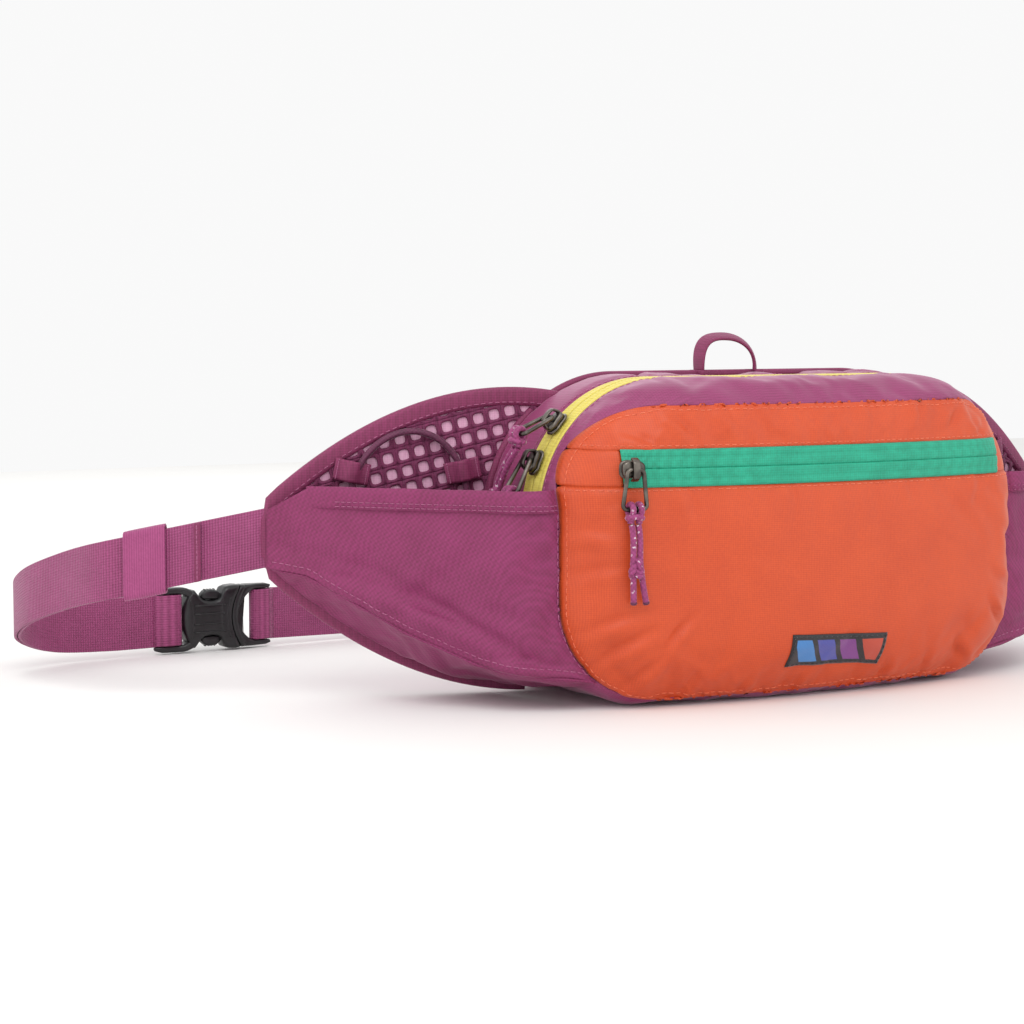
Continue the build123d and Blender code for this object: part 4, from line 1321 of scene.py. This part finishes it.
for side in (-1, 1):
    base = Shape()
    base.tube([(side * 14.6, LOOP_Y, 133.4), (side * 14.6, LOOP_Y, 136.2)], rounded(4.4, 10.4, 1.2, 3), (0, 1, 0))
    base.piece(f"haul_loop_root_{'left' if side < 0 else 'right'}", plum_binding, "main_body", slot="plum_binding")

# ---------------------------------------------------------------- side-release buckle

def fine_ring(ring):
    """The same outline with its four straight sides divided, so that they can bend."""
    fine, corner = [], len(ring) // 4
    for k, (a, b) in enumerate(ring):
        c, d = ring[(k + 1) % len(ring)]
        cuts = 8 if k % corner == corner - 1 else 1
        fine += [(lerp(a, c, i / cuts), lerp(b, d, i / cuts)) for i in range(cuts)]
    return fine


MOUTH_START, MOUTH_RUN, MOUTH_BOW = 29, 9, 5.2     # where the shell's mouth starts to curve in, and how deep
SHELL_HALF = 15.2
LEFT_BAR, RIGHT_BAR, BAR_R = 8.4, 50.6, 1.5
BAR_LINE = (-12.8, -4, 4, 12.8)


def bowed(u, v):
    """The mouth of the shell and the base that meets it both curve in at the middle."""
    share = min(1.0, max(0.0, (u - MOUTH_START) / MOUTH_RUN))
    return u - MOUTH_BOW * share * share * (3 - 2 * share) * max(0.0, 1 - (v / SHELL_HALF) ** 2)


def stations(shape, rows):
    """A moulding built up along the belt: u, lowest and highest v, half thickness, corner."""
    rings = []
    for u, low, high, thick, corner in rows:
        middle, ring = (low + high) / 2, rounded(high - low, 2 * thick, corner, 4)
        rings.append([buckle_spot(bowed(u, middle + s), middle + s, w) for s, w in fine_ring(ring)])
    shape.capped(rings)


def arm_rows(rows, hand):
    """Rows of an arm above the middle, or below it for hand -1."""
    return [(u, min(a * hand, b * hand), max(a * hand, b * hand), t, c) for u, a, b, t, c in rows]


# Female half: a waisted shell with a hollow mouth, and two arms round the webbing's bar.
female = Shape()
outer_rows = [(11.4, 2.6, 3.0), (11.8, 5.6, 3.9), (12.6, 8.6, 4.4), (14.0, 11.8, 4.7), (15.4, 13.9, 4.8),
              (17.0, 13.9, 4.8), (18.6, 12.0, 4.7), (20.4, 10.0, 4.6), (22.2, 9.0, 4.5), (24.5, 8.5, 4.4),
              (27.0, 8.5, 4.4), (29.5, 9.0, 4.5),
              (31.0, 10.4, 4.6), (32.0, 12.6, 4.7), (32.9, 14.4, 4.8), (35.0, 15.2, 4.8), (38.5, 15.4, 4.8),
              (40.5, 15.2, 4.7), (41.0, 14.8, 4.4)]
female_rows = [(u, -v, v, t, 2.4) for u, v, t in outer_rows]
female_rows += [(41.0, -14.1, 14.1, 3.2, 1.0), (40.4, -13.9, 13.9, 2.9, 0.8), (33.6, -13.4, 13.4, 2.8, 0.8)]
stations(female, female_rows)
for hand in (-1, 1):
    stations(female, arm_rows([(-2.8, 12.9, 13.6, 0.6, 0.3), (-2.2, 12.5, 14.4, 1.3, 0.6), (1.0, 12.4, 15.3, 2.0, 0.9),
                               (8.0, 12.3, 15.5, 2.5, 1.2), (11.5, 12.1, 15.4, 3.1, 1.3), (13.2, 11.0, 15.1, 3.9, 1.6),
                               (15.0, 9.5, 14.3, 4.5, 1.9), (16.6, 8.8, 13.6, 4.6, 2.0)], hand))
for face in (-1, 1):
    for start, bow in ((16.0, -1.7), (38.6, 0.0)):
        line = [buckle_spot(bowed(start + bow * (v / 9.0) ** 2, v), v, face * (4.6 + 0.05 * abs(v) / 9)) for v in
                (lerp(-9.5, 9.5, k / 18) for k in range(19))]
        female.tube(line, rounded(0.9, 0.7, 0.3, 2), buckle_z)
    for v in (-6.4, -2.4, 2.4, 6.4):
        rib = [buckle_spot(bowed(u, v), v, face * w)
               for u, w in ((16.4, 4.75), (20, 4.72), (24, 4.6), (28, 4.6), (32, 4.8), (36.5, 4.85))]
        female.tube(rib, rounded(0.8, 0.9, 0.35, 2), buckle_z)
female.tube([buckle_spot(LEFT_BAR, v) for v in BAR_LINE], circle(BAR_R, 12), buckle_z)
female.piece("buckle_female_moulding", black_acetal, "belt_left", ["buckle_female"], "black_acetal")

# Male half: a base hollowed towards the webbing, two arms, a bar, and the guide pin.
male = Shape()
stations(male, [(41.4, -14.6, 14.6, 4.0, 2.0), (41.8, -15.0, 15.0, 4.4, 2.2), (43.0, -15.0, 15.0, 4.4, 2.2),
                (44.2, -14.9, 14.9, 4.2, 2.1), (44.5, -14.7, 14.7, 3.9, 2.0)])
for hand in (-1, 1):
    stations(male, arm_rows([(43.4, 0.4, 14.9, 3.9, 1.9), (44.8, 3.4, 15.0, 4.2, 1.9), (45.8, 6.6, 15.0, 4.1, 1.8),
                             (47.0, 9.2, 15.0, 3.8, 1.6), (48.5, 11.2, 15.0, 3.3, 1.4), (50.5, 12.2, 15.0, 2.6, 1.2),
                             (55.5, 12.3, 14.9, 2.3, 1.1), (58.6, 12.6, 14.2, 1.6, 0.7), (59.3, 12.9, 13.6, 0.8, 0.33)],
                            hand))
male.tube([buckle_spot(RIGHT_BAR, v) for v in BAR_LINE], circle(BAR_R, 12), buckle_z)
stations(male, [(22.2, -1.3, 1.3, 1.4, 0.5), (23.2, -2.0, 2.0, 2.1, 0.6), (41.8, -2.0, 2.0, 2.1, 0.6)])
male.piece("buckle_male_moulding", black_acetal, "main_body", ["buckle_male"], "black_acetal")

# Prongs: a springy arm, and a thumb pad that fills the window in the shell.
for hand, word in ((1, "upper"), (-1, "lower")):
    prong = Shape()
    stations(prong, arm_rows([(21.0, 9.4, 10.6, 1.2, 0.5), (21.5, 9.0, 11.8, 2.0, 0.9), (23.0, 8.8, 13.1, 2.6, 1.2),
                              (25.5, 8.7, 13.6, 2.8, 1.3), (28.5, 8.6, 13.4, 2.7, 1.3), (30.4, 8.6, 12.2, 2.3, 1.0),
                              (31.2, 8.6, 11.5, 2.2, 0.7), (36.0, 8.6, 11.4, 2.2, 0.6), (41.0, 8.6, 11.4, 2.2, 0.6)],
                             hand))
    for k in range(4):
        u = 23.6 + 1.6 * k
        prong.tube([buckle_spot(u, hand * v, w) for v, w in ((12.6, -1.9), (13.55, -0.8), (13.55, 0.8), (12.6, 1.9))],
                   circle(0.28, 6), buckle_x)
    prong.piece(f"buckle_prong_pad_{word}", black_acetal, f"prong_{word}", [f"buckle_prong_{word}"], "black_acetal")

# Webbing turned round each bar.
TURN_R = 2.5
turn_section = rounded(1.3, 24.2, 0.5, 3)
for word, body, bar, reach, trim in (("left", "belt_left", LEFT_BAR, -2.6, 1),
                                     ("right", "main_body", RIGHT_BAR, 59.2, -1)):
    half_way = lerp(reach, bar, 0.45)
    turn = [buckle_spot(reach, 0, 0.9), buckle_spot(half_way, 0, 2.3), buckle_spot(bar, 0, TURN_R)]
    turn += [buckle_spot(bar + trim * TURN_R * sin(a), 0, TURN_R * cos(a)) for a in (pi * k / 8 for k in range(1, 8))]
    turn += [buckle_spot(bar, 0, -TURN_R), buckle_spot(half_way, 0, -2.3), buckle_spot(reach, 0, -0.9)]
    fold = Shape().tube(turn, turn_section, (0, 0, 1))
    webbing_uv(fold.piece(f"strap_turn_{word}", plum_webbing, body, slot="plum_webbing"), turn_section)

# ---------------------------------------------------------------- sliders, hitches and knots

SLIDER_GAP, SLIDER_T = 1.3, 3.6


class ZipSpot:
    """Place of a slider: x along its zip, y across it and z straight out of the cloth."""

    def __init__(self, origin, x_dir, out, across):
        self.origin, self.x, self.out = Vector(origin), Vector(x_dir).normalized(), Vector(out).normalized()
        self.y = self.out.cross(self.x)
        self.across = across

    def at(self, p):
        return self.origin + self.x * p[0] + self.y * p[1] + self.out * p[2]

    def lug_at(self, p):
        return self.at((p[1], p[0], p[2]) if self.across else p)


def corner_spot(angle):
    a = radians(angle)
    out = Vector((-cos(a), 0, sin(a)))
    at = Vector((-HALF + TOP_R, MAIN_Y, TALL - TOP_R)) + out * TOP_R
    return ZipSpot(at, (-sin(a), 0, -cos(a)), out, False)


front_turn = radians(-12.0)
front_out = Vector((sin(front_turn), -cos(front_turn), 0))
zip_spots = {
    "front": ZipSpot(Vector((0, FRONT_CENTRE, ZIP_Z)) + front_out * FRONT_R, (cos(front_turn), sin(front_turn), 0),
                     front_out, True),
    "upper": corner_spot(41),
    "lower": corner_spot(23),
}

for pull, spot in zip_spots.items():
    # Die-cast slider: two wings, pinched at the nose, with a bridge that holds the ring.
    body = Shape()
    for low, high, shrink in ((SLIDER_GAP + 0.1, SLIDER_GAP + 1.2, 1.0),
                              (SLIDER_GAP + 1.2, SLIDER_GAP + SLIDER_T, 0.86)):
        rows = []
        for z, grow in ((low, 0.9), (low + 0.25, 1.0), (high - 0.35, 1.0), (high, 0.84)):
            ring = []
            for k in range(28):
                a = 2 * pi * k / 28
                c, s = cos(a), sin(a)
                x = 5.5 * (abs(c) ** 0.7) * (1 if c >= 0 else -1)
                y = 4.2 * (abs(s) ** 0.62) * (1 if s >= 0 else -1)
                y *= 0.86 + 0.14 * abs(x) / 5.5 - (0.18 if x > 3.4 else 0.0)
                ring.append(spot.at((x * grow * shrink, y * grow * shrink, z)))
            rows.append(ring)
        base = len(body.verts)
        body.grid(rows, closed=True)
        body.faces.append(tuple(range(base + 27, base - 1, -1)))
        body.faces.append(tuple(range(base + 84, base + 112)))
    bridge = [(-4.3, 0, 4.4), (-4.1, 0, 5.6), (-3.0, 0, 7.6), (-1.2, 0, 8.15), (1.2, 0, 8.15), (3.0, 0, 7.6),
              (4.1, 0, 5.6), (4.3, 0, 4.4)]
    if pull == "front":
        bridge = [(x, 0, z) for x, _, z in bridge]
    line = smooth_line([spot.lug_at(p) for p in bridge], 0.6)
    body.tube(line, rounded(2.9, 1.1, 0.45, 3), spot.out.cross(spot.y if not spot.across else spot.x).cross(
        spot.y if not spot.across else spot.x) * -1)
    body.piece(f"slider_body_{pull}", gunmetal, f"{pull}_slider", [f"slider_{pull}"], "gunmetal")

    # Lark's head hitch: two turns of cord over the ring's far side, and a collar.
    ring_end, spread, points, length = PULLS[pull]
    ring_end, spread = Vector(ring_end), Vector(spread).normalized()
    aim = Vector(points[0])
    aim = (aim - spread * aim.dot(spread)).normalized()
    up = aim.cross(spread)
    hitch = Shape()
    for shift in (-1.75, 1.75):
        turn = []
        for k in range(29):
            a = radians(lerp(-158, 158, k / 28))
            turn.append(ring_end + spread * (shift + 0.35 * sin(a)) + aim * (-2.35 * cos(a) + 0.2)
                        + up * 2.35 * sin(a))
        turn = [turn[0] + aim * 3.0 - up * (-1.0)] + turn + [turn[-1] + aim * 3.0 - up * 1.0]
        hitch.tube(smooth_line(turn, 0.7), circle(CORD_R, 10), spread)
    collar = [ring_end + spread * 2.9 * cos(2 * pi * k / 24) + up * 2.7 * sin(2 * pi * k / 24)
              + aim * (3.1 + 0.3 * cos(4 * pi * k / 24)) for k in range(25)]
    hitch.tube(collar, circle(CORD_R, 10), aim)
    hitch_piece = hitch.piece(f"pull_hitch_{pull}", flecked_cord, f"{pull}_pull", [f"pull_knots_{pull}"],
                              "flecked_cord")

    # Overhand knot of both strands, pulled tight.
    knot_at = ring_end + Vector(points[-2])
    down = (Vector(points[-1]) - Vector(points[-3])).normalized()
    front = down.cross(spread).normalized()
    side = front.cross(down)
    knot = Shape()
    for lift in (-0.75, 0.75):
        turns = []
        for k in range(61):
            t = 2 * pi * k / 60
            x, y, z = sin(t) + 2 * sin(2 * t), cos(t) - 2 * cos(2 * t), -sin(3 * t)
            turns.append(knot_at + side * x * 0.88 + down * (y * 0.98 + lift) + front * z * 1.25)
        knot.tube(turns, circle(1.12, 8), front + side * 0.01)
    knot_piece = knot.piece(f"pull_knot_{pull}", flecked_cord, f"{pull}_pull", slot="flecked_cord")
    for word in ("a", "b"):
        piece, route, length = strands[pull, word]
        # Heat-sealed tip: the braid is melted to a dark bead.
        end, before = Vector(route[-1]), Vector(route[-2])
        along = (end - before).normalized()
        bead = Shape().tube([end - along * 0.9, end - along * 0.5, end + along * 0.2, end + along * 0.5],
                            [circle(1.3, 12), circle(1.45, 12), circle(1.3, 12), circle(0.6, 12)], spread)
        bead.piece(f"pull_tip_{pull}_{word}", plum_cord, f"{pull}_pull", slot="flecked_cord")

# ---------------------------------------------------------------- nodes kept from the CAD

for node, finish in (("pull_ring_front", gunmetal), ("pull_ring_upper", gunmetal), ("pull_ring_lower", gunmetal),
                     ("front_pocket_bag", grey_foam), ("back_padding", grey_foam), ("inner_slip_pocket", grey_foam)):
    kept = frame["nodes"][node]
    kept.data.materials.clear()
    kept.data.materials.append(finish)

# ---------------------------------------------------------------- floor

FLOOR_HALF, FLOOR_Z = 1500, -0.4
floor = Shape().grid([[(x, y, FLOOR_Z) for x in (-FLOOR_HALF, FLOOR_HALF)] for y in (-FLOOR_HALF, FLOOR_HALF)])
floor_material, floor_tree = blank("studio_floor")
floor_grain = add(floor_tree, "ShaderNodeTexNoise", Scale=40.0, Detail=2.0)
floor_tone = add(floor_tree, "ShaderNodeMixRGB", [("Fac", floor_grain, "Fac")], Color1=linear("#EDECEA"),
                 Color2=linear("#F1F0EE"))
floor_shader = add(floor_tree, "ShaderNodeBsdfPrincipled", [("Base Color", floor_tone, 0)], Roughness=0.9)
add(floor_tree, "ShaderNodeOutputMaterial", [("Surface", floor_shader, 0)])
floor.piece("floor", floor_material, "main_body", ride=False)
